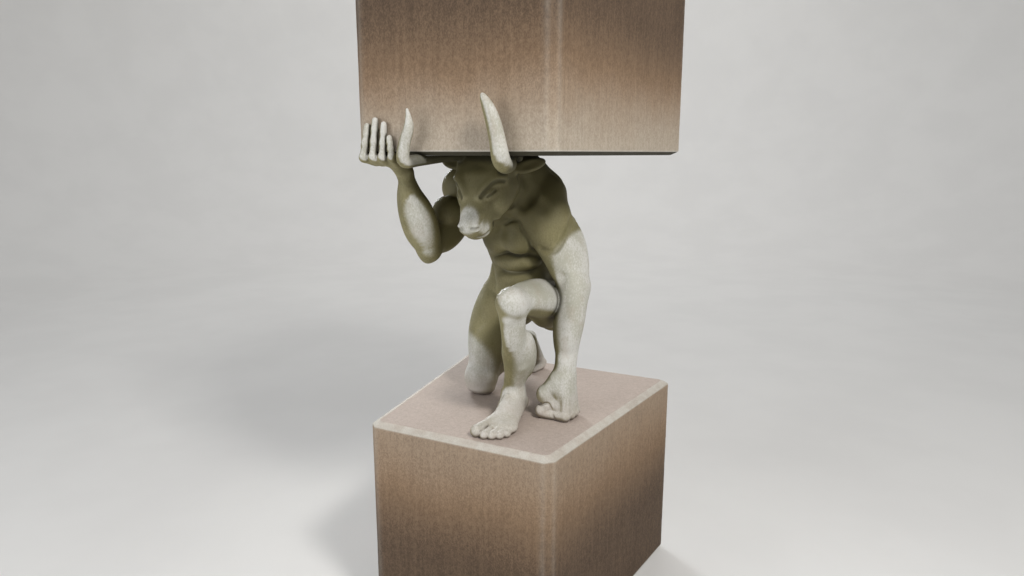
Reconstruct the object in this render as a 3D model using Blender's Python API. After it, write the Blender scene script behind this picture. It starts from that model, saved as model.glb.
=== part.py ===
"""A kneeling man with a bull's head, carved in stone, who carries a stone block.

Two blocks of the same plan are made, and between them one carved figure. The
figure is modelled as clay: round limbs, muscle bellies and grooves are blended
into a field of distances, the field's zero surface becomes a mesh, and the
blocks are cut out of it where it stands on them or carries them.

Units are metres, +Z is up and the figure looks towards -Y. The origin lies in
the middle of the plinth's underside.
"""

import bmesh
import bpy
import numpy as np

# Driving sizes of the stone blocks
PLINTH_HEIGHT = 0.826
UPPER_BLOCK_HEIGHT = 0.826
BLOCK_FRONT_WIDTH = 0.758
BLOCK_BACK_WIDTH = 1.050
BLOCK_DEPTH = 1.033
CHAMFER_FLAT = 0.0274
CHAMFER_DROP = 0.0141

# Driving size of the figure: the room between the blocks
CLEAR_HEIGHT = 1.000

# Gap that keeps touching stones apart
CONTACT_GAP = 0.0003

# From here on the figure's numbers are shares of CLEAR_HEIGHT, with x to the
# viewer's right, y to the back and z up from the top of the plinth.
FACE_SETBACK = 0.5165
CELL = 0.0085
FIELD_LOW = (-0.44, -0.66, -0.06)
FIELD_HIGH = (0.40, 0.54, 1.24)
FAR = 0.2
FIGURE_TRIANGLES = 8400

HIP_LEFT = (0.115, 0.090, 0.385)
KNEE_LEFT = (0.160, -0.360, 0.482)
ANKLE_LEFT = (0.083, -0.185, 0.095)
HEEL_LEFT = (0.112, -0.145, 0.045)
HIP_RIGHT = (-0.100, 0.100, 0.420)
KNEE_RIGHT = (-0.168, -0.022, 0.066)
ANKLE_RIGHT = (-0.145, 0.400, 0.165)
SHOULDER_LEFT = (0.195, -0.015, 0.765)
ELBOW_LEFT = (0.275, -0.060, 0.500)
WRIST_LEFT = (0.265, -0.135, 0.200)
SHOULDER_RIGHT = (-0.215, -0.050, 0.840)
ELBOW_RIGHT = (-0.203, -0.320, 0.652)
WRIST_RIGHT = (-0.243, -0.430, 0.930)
SKULL = (0.008, -0.260, 0.905)
MUZZLE = (0.014, -0.395, 0.765)
MIDLINE = 0.010

HORN_LEFT = [(0.080, -0.270, 0.966), (0.150, -0.380, 0.968), (0.198, -0.500, 0.970),
             (0.213, -0.558, 0.995), (0.200, -0.568, 1.055), (0.181, -0.568, 1.120),
             (0.160, -0.564, 1.182)]
HORN_RIGHT = [(-0.060, -0.270, 0.964), (-0.100, -0.380, 0.968), (-0.140, -0.500, 0.970),
              (-0.155, -0.554, 0.988), (-0.142, -0.564, 1.040), (-0.122, -0.564, 1.100),
              (-0.131, -0.560, 1.148)]
HORN_RADII = [0.032, 0.029, 0.026, 0.026, 0.024, 0.019, 0.009]
RIGHT_HORN_SLIMMER = 0.84

# Rows for the fingers and toes: place across the hand or foot, and reach
FINGERS_RIGHT = [(-0.344, 0.080), (-0.304, 0.106), (-0.266, 0.094), (-0.234, 0.048)]
KNUCKLES_LEFT = [(0.283, -0.178), (0.292, -0.147), (0.294, -0.116), (0.288, -0.086)]
TOES_LEFT = [((0.070, -0.370), (0.056, -0.450), 0.0230),
             ((0.098, -0.380), (0.092, -0.455), 0.0170),
             ((0.122, -0.380), (0.118, -0.447), 0.0165),
             ((0.144, -0.370), (0.142, -0.430), 0.0160),
             ((0.163, -0.350), (0.164, -0.405), 0.0150)]

STONE = (0.330, 0.330, 0.270)
SANDSTONE = (0.300, 0.205, 0.150)

# Cut of a cell into six tetrahedra: the order of the axes walked from the
# cell's low corner to its high one, and the turning sense of that path
CELL_PATHS = [((0, 1, 2), 1), ((1, 2, 0), 1), ((2, 0, 1), 1),
              ((0, 2, 1), -1), ((2, 1, 0), -1), ((1, 0, 2), -1)]
# Edges cut by the surface for each set of inside corners, as bits
EDGES_CUT = {1: ((0, 1), (0, 2), (0, 3)), 2: ((0, 1), (1, 3), (1, 2)),
             4: ((0, 2), (1, 2), (2, 3)), 8: ((0, 3), (2, 3), (1, 3)),
             3: ((0, 2), (0, 3), (1, 3), (1, 2)), 5: ((0, 3), (0, 1), (1, 2), (2, 3)),
             9: ((0, 1), (0, 2), (2, 3), (1, 3))}
ALL_CORNERS = 15


def vector(*numbers):
    return np.array(numbers, float)


def unit(direction):
    return direction / np.linalg.norm(direction)


def axes_along(along, side):
    """Three square axes: near side, across, and along."""
    w = unit(np.array(along, float))
    s = np.array(side, float)
    s = s - w * (s @ w)
    if np.linalg.norm(s) < 1e-6:
        s = np.cross(w, vector(0.3, 0.9, 0.2))
    u = unit(s)
    return u, np.cross(w, u), w


class Clay:
    """Signed distances on a regular grid, negative inside the figure."""

    def __init__(self, low, high, cell):
        self.low = np.array(low, float)
        self.cell = cell
        count = np.ceil((np.array(high) - self.low) / cell).astype(int) + 1
        self.field = np.full(count, FAR, np.float32)
        self.rulers = [(self.low[i] + cell * np.arange(count[i])).astype(np.float32)
                       for i in range(3)]

    def region(self, low, high):
        first = np.maximum(np.floor((low - self.low) / self.cell).astype(int), 0)
        last = np.ceil((high - self.low) / self.cell).astype(int) + 1
        last = np.maximum(np.minimum(last, self.field.shape), first)
        cut = tuple(slice(a, b) for a, b in zip(first, last))
        x, y, z = (ruler[c] for ruler, c in zip(self.rulers, cut))
        return cut, x[:, None, None], y[None, :, None], z[None, None, :]

    def blend(self, shape, radius, sign):
        low, high, distance = shape
        room = radius + 3 * self.cell
        cut, x, y, z = self.region(low - room, high + room)
        old = self.field[cut] * sign
        new = distance(x, y, z)
        near = np.maximum(radius - np.abs(old - new), 0) / radius
        self.field[cut] = (np.minimum(old, new) - near * near * radius * 0.25) * sign

    def add(self, shape, radius=0.02):
        """Put a shape on, with a soft joint of the given radius."""
        self.blend(shape, radius, 1)

    def carve(self, shape, radius=0.008):
        """Take a shape away, with a soft edge of the given radius."""
        low, high, distance = shape
        self.blend((low, high, distance), radius, -1)


def limb(a, b, radius_a, radius_b, side=(1, 0, 0), wide=1.0):
    """Cone with round ends from a to b, its section stretched along side."""
    a = np.array(a, float)
    b = np.array(b, float)
    u, v, w = axes_along(b - a, side)
    length = np.linalg.norm(b - a)

    def distance(x, y, z):
        x = x - a[0]
        y = y - a[1]
        z = z - a[2]
        p = (x * u[0] + y * u[1] + z * u[2]) / wide
        q = x * v[0] + y * v[1] + z * v[2]
        t = x * w[0] + y * w[1] + z * w[2]
        share = np.clip(t / length, 0, 1)
        beyond = t - share * length
        radius = radius_a + (radius_b - radius_a) * share
        return np.sqrt(p * p + q * q + beyond * beyond) - radius

    reach = max(radius_a, radius_b) * max(wide, 1)
    return np.minimum(a, b) - reach, np.maximum(a, b) + reach, distance


def egg(centre, radii, along=(0, 0, 1), side=(1, 0, 0)):
    """Ellipsoid with radii near side, across it and along its axis."""
    c = np.array(centre, float)
    u, v, w = axes_along(along, side)
    ru, rv, rw = radii

    def distance(x, y, z):
        x = x - c[0]
        y = y - c[1]
        z = z - c[2]
        p = x * u[0] + y * u[1] + z * u[2]
        q = x * v[0] + y * v[1] + z * v[2]
        t = x * w[0] + y * w[1] + z * w[2]
        near = np.sqrt((p / ru) ** 2 + (q / rv) ** 2 + (t / rw) ** 2)
        steep = np.sqrt((p / ru ** 2) ** 2 + (q / rv ** 2) ** 2 + (t / rw ** 2) ** 2)
        return near * (near - 1) / (steep + 1e-9)

    reach = np.sqrt((u * ru) ** 2 + (v * rv) ** 2 + (w * rw) ** 2)
    return c - reach, c + reach, distance


def muscle(a, b, radius, side=(1, 0, 0), wide=1.0):
    """Muscle belly stretched from a to b."""
    a = np.array(a, float)
    b = np.array(b, float)
    half = np.linalg.norm(b - a) / 2
    return egg((a + b) / 2, (radius * wide, radius, half), b - a, side)


def smooth_curve(points, count):
    """Catmull-Rom curve through the points, read at even steps."""
    p = np.array(points, float)
    p = np.vstack([2 * p[0] - p[1], p, 2 * p[-1] - p[-2]])
    t = np.linspace(0, len(p) - 3 - 1e-9, count)
    i = t.astype(int)
    t = (t - i)[:, None]
    a, b, c, d = p[i], p[i + 1], p[i + 2], p[i + 3]
    return 0.5 * (2 * b + (c - a) * t + (2 * a - 5 * b + 4 * c - d) * t ** 2
                  + (3 * b - a - 3 * c + d) * t ** 3)


def horn(points, radii, count=18):
    """Round bar along a curve, its radius running through the radii."""
    rows = smooth_curve(np.column_stack([points, radii]), count)
    parts = [limb(a[:3], b[:3], a[3], b[3]) for a, b in zip(rows[:-1], rows[1:])]
    low = np.min([part[0] for part in parts], axis=0)
    high = np.max([part[1] for part in parts], axis=0)

    def distance(x, y, z):
        nearest = parts[0][2](x, y, z)
        for part in parts[1:]:
            nearest = np.minimum(nearest, part[2](x, y, z))
        return nearest

    return low, high, distance


def model_torso(clay):
    """Pelvis, belly, ribcage and the bowed upper back under the load."""
    clay.add(egg((MIDLINE, 0.120, 0.420), (0.165, 0.115, 0.110), (0, 0.1, 1)))
    clay.add(egg((MIDLINE, 0.085, 0.550), (0.120, 0.100, 0.150), (0, -0.25, 1)), 0.06)
    clay.add(egg((0.005, 0.015, 0.730), (0.152, 0.122, 0.180), (0, -0.35, 1)), 0.06)
    clay.add(egg((-0.010, 0.005, 0.885), (0.165, 0.145, 0.140), (0, -0.5, 1)), 0.05)
    for side in (-1, 1):
        clay.add(egg((MIDLINE + side * 0.085, 0.170, 0.360), (0.090, 0.100, 0.105), (0, 0.2, 1)), 0.02)
        clay.add(egg((MIDLINE + side * 0.045, 0.150, 0.580), (0.036, 0.034, 0.170), (0, -0.25, 1)), 0.04)
    clay.add(limb((0.145, 0.050, 0.760), (0.090, 0.110, 0.520), 0.055, 0.030, (0, 1, 0), 1.2), 0.05)
    clay.add(limb((-0.145, 0.040, 0.800), (-0.080, 0.110, 0.520), 0.060, 0.030, (0, 1, 0), 1.2), 0.05)
    # Shoulder blades
    clay.add(egg((0.108, 0.072, 0.845), (0.080, 0.055, 0.100), (0.15, -0.35, 1), (1, 0.5, 0)), 0.05)
    clay.add(egg((-0.120, 0.070, 0.850), (0.076, 0.055, 0.098), (-0.15, -0.35, 1), (1, -0.5, 0)), 0.05)
    # Chest
    clay.add(egg((0.085, -0.100, 0.735), (0.095, 0.055, 0.080), (0.35, -0.25, 1)), 0.02)
    clay.add(egg((-0.085, -0.110, 0.750), (0.095, 0.055, 0.078), (-0.35, -0.25, 1)), 0.02)
    # Belly folds, pressed together by the stoop
    for height, forward, wide in ((0.662, -0.040, 0.104), (0.600, -0.020, 0.108), (0.535, 0.004, 0.112)):
        clay.add(egg((0.006, forward, height), (wide, 0.070, 0.046)), 0.03)
    # Furrow of the spine
    clay.carve(limb((MIDLINE, 0.205, 0.500), (0.002, 0.175, 0.740), 0.012, 0.012), 0.03)


def model_left_arm(clay):
    """The straight arm that leans on its fist."""
    shoulder, elbow, wrist = vector(*SHOULDER_LEFT), vector(*ELBOW_LEFT), vector(*WRIST_LEFT)
    clay.add(limb((0.030, -0.020, 0.920), shoulder, 0.070, 0.060), 0.05)
    clay.add(egg((0.203, -0.020, 0.735), (0.064, 0.068, 0.100), (0.18, -0.05, -0.99)), 0.025)
    clay.add(muscle((0.110, -0.120, 0.800), (0.225, -0.080, 0.655), 0.058, wide=1.1), 0.02)
    clay.add(limb(shoulder, elbow, 0.056, 0.046), 0.03)
    clay.add(muscle(shoulder + (0.010, -0.040, -0.080), elbow + (0, -0.030, 0.030), 0.044))
    clay.add(muscle(shoulder + (0.030, 0.040, -0.040), elbow + (0.010, 0.030, 0.030), 0.046), 0.025)
    clay.add(egg(elbow + (0.005, 0, 0.005), (0.050, 0.045, 0.055)))
    clay.add(limb(elbow, wrist, 0.050, 0.036, (0, 1, 0), 1.1), 0.03)
    clay.add(muscle(elbow + (0.022, -0.010, 0.050), wrist + (0.012, 0, 0.100), 0.046), 0.025)
    clay.add(muscle(elbow + (-0.020, 0, 0.020), wrist + (-0.015, 0, 0.080), 0.042))


def model_left_fist(clay):
    """Fist on the plinth: first finger joints lie flat, thumb in front."""
    palm = vector(0.265, -0.145, 0.130)
    clay.add(limb(WRIST_LEFT, palm, 0.038, 0.045, (0, 1, 0), 1.1), 0.03)
    clay.add(limb(palm, (0.262, -0.130, 0.050), 0.044, 0.048, (0.2, -1, 0), 1.2))
    for x, y in KNUCKLES_LEFT:
        knuckle = vector(x, y, 0.022)
        bend = knuckle + (-0.085, 0.004, -0.004)
        clay.add(egg(knuckle, (0.022, 0.018, 0.024)), 0.012)
        clay.add(limb(knuckle, bend, 0.021, 0.019), 0.008)
        clay.add(limb(bend, knuckle + (-0.070, 0.004, 0.038), 0.019, 0.018), 0.008)
    thumb_joint = vector(0.182, -0.180, 0.062)
    clay.add(limb((0.235, -0.165, 0.120), thumb_joint, 0.030, 0.024), 0.012)
    clay.add(limb(thumb_joint, (0.158, -0.165, 0.020), 0.024, 0.018), 0.01)


def model_right_arm(clay):
    """The bent arm that steadies the load on its palm."""
    shoulder, elbow, wrist = vector(*SHOULDER_RIGHT), vector(*ELBOW_RIGHT), vector(*WRIST_RIGHT)
    clay.add(limb((-0.050, -0.030, 0.920), shoulder, 0.075, 0.068), 0.05)
    clay.add(egg((-0.225, -0.070, 0.840), (0.072, 0.078, 0.090), (0, -0.7, -0.4)), 0.03)
    clay.add(limb(shoulder, elbow, 0.060, 0.046), 0.03)
    clay.add(muscle(shoulder + (0, -0.050, 0.020), elbow + (0, 0.030, 0.075), 0.052), 0.012)
    clay.add(muscle(shoulder + (-0.010, 0, -0.060), elbow + (0.010, 0.050, -0.015), 0.050))
    clay.add(egg(elbow + (0, 0.005, -0.012), (0.036, 0.040, 0.036)))
    clay.add(limb(elbow, wrist, 0.048, 0.029), 0.03)
    clay.add(muscle(elbow + (-0.025, -0.010, 0), wrist + (0, -0.010, -0.090), 0.046))
    clay.add(muscle(elbow + (0.020, 0.020, 0.030), wrist + (0, 0.030, -0.100), 0.043))


def model_right_hand(clay):
    """Palm under the block's front edge, fingers up against its face."""
    palm = vector(-0.280, -0.485, 0.980)
    clay.add(limb(WRIST_RIGHT, palm, 0.028, 0.020, wide=1.3), 0.012)
    clay.add(egg(palm + (-0.010, -0.008, 0), (0.056, 0.050, 0.020)), 0.012)
    for number, (across, reach) in enumerate(FINGERS_RIGHT):
        radius = 0.0138 - 0.0008 * number
        root = vector(across * 0.8 - 0.060, -0.500, 0.980)
        bend = vector(across - 0.004, -0.534, 0.990)
        tip = vector(across + 0.012, -0.530, 1.0 + reach)
        clay.add(limb(root, bend, 0.017, radius), 0.01)
        clay.add(limb(bend, tip, radius, radius - 0.002), 0.008)


def model_left_leg(clay):
    """The leg set forward, with its foot flat on the plinth."""
    hip, knee, ankle = vector(*HIP_LEFT), vector(*KNEE_LEFT), vector(*ANKLE_LEFT)
    clay.add(limb(hip, knee, 0.098, 0.060), 0.03)
    clay.add(muscle(hip + (0.010, -0.060, 0.020), knee + (0, 0.080, -0.010), 0.078), 0.03)
    clay.add(muscle(hip + (0.020, -0.150, 0.060), knee + (0.005, 0, 0.020), 0.050), 0.03)
    clay.add(egg(knee + (-0.005, -0.010, -0.003), (0.052, 0.052, 0.056)))
    clay.add(limb(knee, ankle, 0.052, 0.034), 0.03)
    clay.add(muscle(knee + (0.005, 0.040, -0.050), ankle + (0.005, 0.035, 0.090), 0.062), 0.03)
    clay.add(limb(ankle, HEEL_LEFT, 0.034, 0.040))
    instep = vector(0.095, -0.345, 0.035)
    clay.add(limb(ankle + (0, -0.010, -0.010), instep, 0.036, 0.030, (1, 0.2, 0), 1.3), 0.03)
    clay.add(limb(HEEL_LEFT, (0.145, -0.345, 0.025), 0.040, 0.028, wide=1.1), 0.03)
    for (root_x, root_y), (tip_x, tip_y), radius in TOES_LEFT:
        root = (root_x, root_y, radius + 0.010)
        tip = (tip_x, tip_y, radius - 0.002)
        clay.add(limb(root, tip, radius, radius), 0.012)


def model_right_leg(clay):
    """The kneeling leg, toes bent under the raised heel."""
    hip, knee, ankle = vector(*HIP_RIGHT), vector(*KNEE_RIGHT), vector(*ANKLE_RIGHT)
    clay.add(limb(hip, knee, 0.100, 0.062), 0.03)
    clay.add(muscle(hip + (-0.055, -0.020, 0), knee + (-0.008, 0.020, 0.060), 0.078), 0.03)
    clay.add(egg(knee, (0.060, 0.062, 0.072)))
    clay.add(limb(knee, ankle, 0.058, 0.036), 0.03)
    clay.add(muscle(knee + (0, 0.040, 0.020), ankle + (0, -0.080, 0.010), 0.066), 0.03)
    clay.add(egg(ankle + (-0.002, 0.035, 0.030), (0.036, 0.040, 0.045)))
    clay.add(limb(ankle, (-0.095, 0.400, 0.035), 0.036, 0.030, wide=1.35), 0.03)
    for number in range(5):
        across = -0.065 - 0.021 * number
        root = (across, 0.395, 0.020)
        tip = (across - 0.015, 0.320 + 0.012 * number, 0.011)
        radius = 0.019 - 0.001 * number
        clay.add(limb(root, tip, radius, radius - 0.003), 0.01)


def model_head(clay):
    """Thick neck, bull's skull, cheeks, muzzle, ears and horns."""
    skull = vector(*SKULL)
    clay.add(limb((0, -0.050, 0.890), skull + (0, 0.030, 0), 0.115, 0.092), 0.05)
    clay.add(egg(skull, (0.104, 0.095, 0.085)), 0.03)
    clay.add(limb((0.004, -0.285, 0.930), (0.012, -0.380, 0.785), 0.096, 0.048), 0.03)
    for side in (-1, 1):
        jaw = (0.012 + side * 0.056, -0.255, 0.880)
        chin = (0.016 + side * 0.018, -0.350, 0.757)
        clay.add(limb(jaw, chin, 0.050, 0.034))
        socket = (0.010 + side * 0.098, -0.338, 0.878)
        clay.carve(egg(socket, (0.022, 0.030, 0.018)), 0.014)
        clay.carve(egg((MUZZLE[0] + side * 0.032, -0.440, 0.755), (0.009, 0.012, 0.007)), 0.006)
    clay.add(egg(MUZZLE, (0.047, 0.040, 0.044)))
    clay.add(limb((0.095, -0.235, 0.955), (0.200, -0.190, 0.978), 0.018, 0.007, (0, -0.3, 1), 1.5), 0.012)
    clay.add(limb((-0.075, -0.245, 0.955), (-0.168, -0.240, 0.978), 0.018, 0.007, (0, -0.3, 1), 1.5), 0.012)
    clay.add(horn(HORN_LEFT, HORN_RADII), 0.015)
    clay.add(horn(HORN_RIGHT, [RIGHT_HORN_SLIMMER * radius for radius in HORN_RADII]), 0.015)


def surface(clay):
    """Zero surface of the field, by marching over the tetrahedra of each cell.

    Every crossed grid edge gives one vertex, placed by linear interpolation,
    and each tetrahedron gives one or two triangles that face outwards.
    """
    field = clay.field
    shape = np.array(field.shape)
    stride = np.array([shape[1] * shape[2], shape[2], 1])
    inside = (field < 0).astype(np.int8)
    corners = [inside[i:shape[0] - 1 + i, j:shape[1] - 1 + j, k:shape[2] - 1 + k]
               for i in (0, 1) for j in (0, 1) for k in (0, 1)]
    total = sum(corners)
    cells = np.argwhere((total > 0) & (total < len(corners))) @ stride
    flat = field.ravel()
    triangles = []
    for path, turn in CELL_PATHS:
        steps = np.cumsum([0] + [stride[axis] for axis in path])
        corner = [cells + step for step in steps]
        mask = sum((flat[c] < 0).astype(int) << bit for bit, c in enumerate(corner))
        for bits, edges in EDGES_CUT.items():
            for case, flip in ((bits, turn < 0), (ALL_CORNERS - bits, turn > 0)):
                chosen = mask == case
                keys = [np.stack([corner[a][chosen], corner[b][chosen]], 1) for a, b in edges]
                for last in range(2, len(keys)):
                    fan = [keys[0], keys[last - 1], keys[last]]
                    triangles.append(np.stack(fan[::-1] if flip else fan, 1))
    ends = np.concatenate(triangles).reshape(-1, 2)
    edge, corner_of = np.unique(ends[:, 0] * field.size + ends[:, 1], return_inverse=True)
    a = edge // field.size
    b = edge % field.size
    share = np.clip(flat[a] / (flat[a] - flat[b]), 0.03, 0.97)[:, None]
    start = np.stack(np.unravel_index(a, field.shape), 1)
    end = np.stack(np.unravel_index(b, field.shape), 1)
    points = clay.low + clay.cell * (start + (end - start) * share)
    return points, corner_of.reshape(-1, 3)


def figure_surface():
    """The whole figure's surface in metres, in the blocks' frame."""
    clay = Clay(FIELD_LOW, FIELD_HIGH, CELL)
    for model in (model_torso, model_left_arm, model_left_fist, model_right_arm, model_right_hand,
                  model_left_leg, model_right_leg, model_head):
        model(clay)
    points, triangles = surface(clay)
    points = points * CLEAR_HEIGHT
    points[:, 1] += FACE_SETBACK * CLEAR_HEIGHT - BLOCK_DEPTH / 2
    points[:, 2] += PLINTH_HEIGHT
    return points, triangles


def block_corners(inset, grow):
    """Plan of a block: its four corners, moved in by inset and out by grow.

    Each side's line moves square to itself, and neighbours meet again.
    """
    half_depth = BLOCK_DEPTH / 2
    plan = np.array([(-BLOCK_FRONT_WIDTH / 2, -half_depth), (BLOCK_FRONT_WIDTH / 2, -half_depth),
                     (BLOCK_BACK_WIDTH / 2, half_depth), (-BLOCK_BACK_WIDTH / 2, half_depth)])
    along = np.roll(plan, -1, axis=0) - plan
    along = along / np.linalg.norm(along, axis=1)[:, None]
    outward = np.column_stack([along[:, 1], -along[:, 0]])
    reach = np.sum(outward * plan, axis=1) - inset + grow
    corners = []
    for side in range(4):
        lines = np.array([outward[side - 1], outward[side]])
        corners.append(np.linalg.solve(lines, np.array([reach[side - 1], reach[side]])))
    return corners


def clipped_ring(corners, inset):
    """Each corner is cut back by inset along both of its sides."""
    ring = []
    for number, corner in enumerate(corners):
        for other in (corners[number - 1], corners[(number + 1) % len(corners)]):
            ring.append(corner + unit(other - corner) * inset)
    return ring


def new_material(name, colour, roughness):
    material = bpy.data.materials.new(name)
    material.use_nodes = True
    shader = material.node_tree.nodes["Principled BSDF"]
    shader.inputs["Base Color"].default_value = (*colour, 1.0)
    shader.inputs["Roughness"].default_value = roughness
    shader.inputs["Metallic"].default_value = 0.0
    return material


def new_object(name, mesh, material=None):
    thing = bpy.data.objects.new(name, mesh)
    if material:
        mesh.materials.append(material)
    bpy.context.scene.collection.objects.link(thing)
    return thing


def make_block(name, bottom, height, material=None, grow=0.0):
    """Chamfered block of the common plan, grown outwards by grow as a cutter."""
    body = clipped_ring(block_corners(0, grow), CHAMFER_FLAT)
    end = clipped_ring(block_corners(CHAMFER_FLAT, grow), CHAMFER_FLAT / 2)
    top = bottom + height
    levels = [(bottom - grow, end), (bottom + CHAMFER_DROP - grow, body),
              (top - CHAMFER_DROP + grow, body), (top + grow, end)]
    shape = bmesh.new()
    rings = [[shape.verts.new((x, y, z)) for x, y in ring] for z, ring in levels]
    shape.faces.new(rings[0][::-1])
    shape.faces.new(rings[-1])
    for lower, upper in zip(rings[:-1], rings[1:]):
        for i in range(len(lower)):
            j = (i + 1) % len(lower)
            shape.faces.new((lower[i], lower[j], upper[j], upper[i]))
    bmesh.ops.recalc_face_normals(shape, faces=shape.faces[:])
    mesh = bpy.data.meshes.new(name)
    shape.to_mesh(mesh)
    shape.free()
    return new_object(name, mesh, material)


def make_cutter(name, bottom, height):
    cutter = make_block(name, bottom, height, grow=CONTACT_GAP)
    cutter.hide_render = True
    cutter.display_type = 'WIRE'
    return cutter


def make_figure(material):
    """Carved figure, trimmed by the plinth below and the load above."""
    points, triangles = figure_surface()
    mesh = bpy.data.meshes.new("figure")
    mesh.from_pydata(points.tolist(), [], triangles.tolist())
    mesh.shade_smooth()
    figure = new_object("figure", mesh, material)
    thin = figure.modifiers.new("Thin out", 'DECIMATE')
    thin.ratio = FIGURE_TRIANGLES / len(triangles)
    load_bottom = PLINTH_HEIGHT + CLEAR_HEIGHT
    for cutter in (make_cutter("plinth_cutter", 0.0, PLINTH_HEIGHT),
                   make_cutter("load_cutter", load_bottom, UPPER_BLOCK_HEIGHT)):
        trim = figure.modifiers.new("Trim by " + cutter.name, 'BOOLEAN')
        trim.operation = 'DIFFERENCE'
        trim.object = cutter
    return figure


def main():
    for thing in list(bpy.data.objects):
        bpy.data.objects.remove(thing, do_unlink=True)
    sandstone = new_material("brown sandstone", SANDSTONE, 0.85)
    stone = new_material("grey-green stone", STONE, 0.60)
    make_block("plinth", 0.0, PLINTH_HEIGHT, sandstone)
    make_block("upper_block", PLINTH_HEIGHT + CLEAR_HEIGHT, UPPER_BLOCK_HEIGHT, sandstone)
    make_figure(stone)


main()
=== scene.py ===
"""A kneeling man with a bull's head, carved in grey-green stone, between two sandstone blocks.

Run as a script in Blender 4.5. The blocks and the figure's place come from the
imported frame. Units are metres, +Z is up and the figure looks towards -Y.
"""

import bpy
import numpy as np
from bpy.props import FloatProperty, FloatVectorProperty, IntProperty, PointerProperty
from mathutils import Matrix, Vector


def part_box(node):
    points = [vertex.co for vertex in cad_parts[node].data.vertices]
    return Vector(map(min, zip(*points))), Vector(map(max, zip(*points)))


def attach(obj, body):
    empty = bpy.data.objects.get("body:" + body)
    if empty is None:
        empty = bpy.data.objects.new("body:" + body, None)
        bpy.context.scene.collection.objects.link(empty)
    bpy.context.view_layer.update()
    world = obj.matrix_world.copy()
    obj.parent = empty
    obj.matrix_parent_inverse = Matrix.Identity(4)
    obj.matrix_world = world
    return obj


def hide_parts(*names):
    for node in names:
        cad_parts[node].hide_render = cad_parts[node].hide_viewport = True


bl_info = {
    "name": "Minotaur Statue",
    "version": (1, 0, 0),
    "blender": (4, 5, 0),
    "location": "View3D > Sidebar > Statue",
    "description": "Carves the kneeling figure, wears the two blocks and sets a pale studio",
    "category": "Object",
}

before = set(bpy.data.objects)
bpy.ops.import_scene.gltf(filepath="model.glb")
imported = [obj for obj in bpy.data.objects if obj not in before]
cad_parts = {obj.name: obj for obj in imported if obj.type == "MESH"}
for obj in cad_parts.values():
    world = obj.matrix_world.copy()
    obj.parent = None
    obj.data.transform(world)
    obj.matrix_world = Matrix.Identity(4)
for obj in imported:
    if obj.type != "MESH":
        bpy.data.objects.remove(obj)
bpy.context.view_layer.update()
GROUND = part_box("plinth")[1].z
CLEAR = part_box("upper_block")[0].z - GROUND
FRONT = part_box("plinth")[0].y

# Gap that keeps touching stones apart
CONTACT_GAP = 0.0003
# Distance that the field holds where no clay is
FAR = 0.2
# Etched lines: how far their points are drawn back, and the longest step of the drop
DRAWN_BACK = 0.05
DROP_STEP = 0.004
FIELD_LOW = (-0.44, -0.66, -0.03)
FIELD_HIGH = (0.40, 0.54, 1.24)


def vector(*numbers):
    return np.array(numbers, float)


def unit(direction):
    return direction / np.linalg.norm(direction)


def axes_along(along, side):
    """Three square axes: near side, across, and along."""
    w = unit(np.array(along, float))
    s = np.array(side, float)
    s = s - w * (s @ w)
    if np.linalg.norm(s) < 1e-6:
        s = np.cross(w, vector(0.3, 0.9, 0.2))
    u = unit(s)
    return u, np.cross(w, u), w


def places_along(axes, origin, x, y, z):
    """Each place's distances from the origin along three square axes."""
    x = x - origin[0]
    y = y - origin[1]
    z = z - origin[2]
    return [x * axis[0] + y * axis[1] + z * axis[2] for axis in axes]


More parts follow.
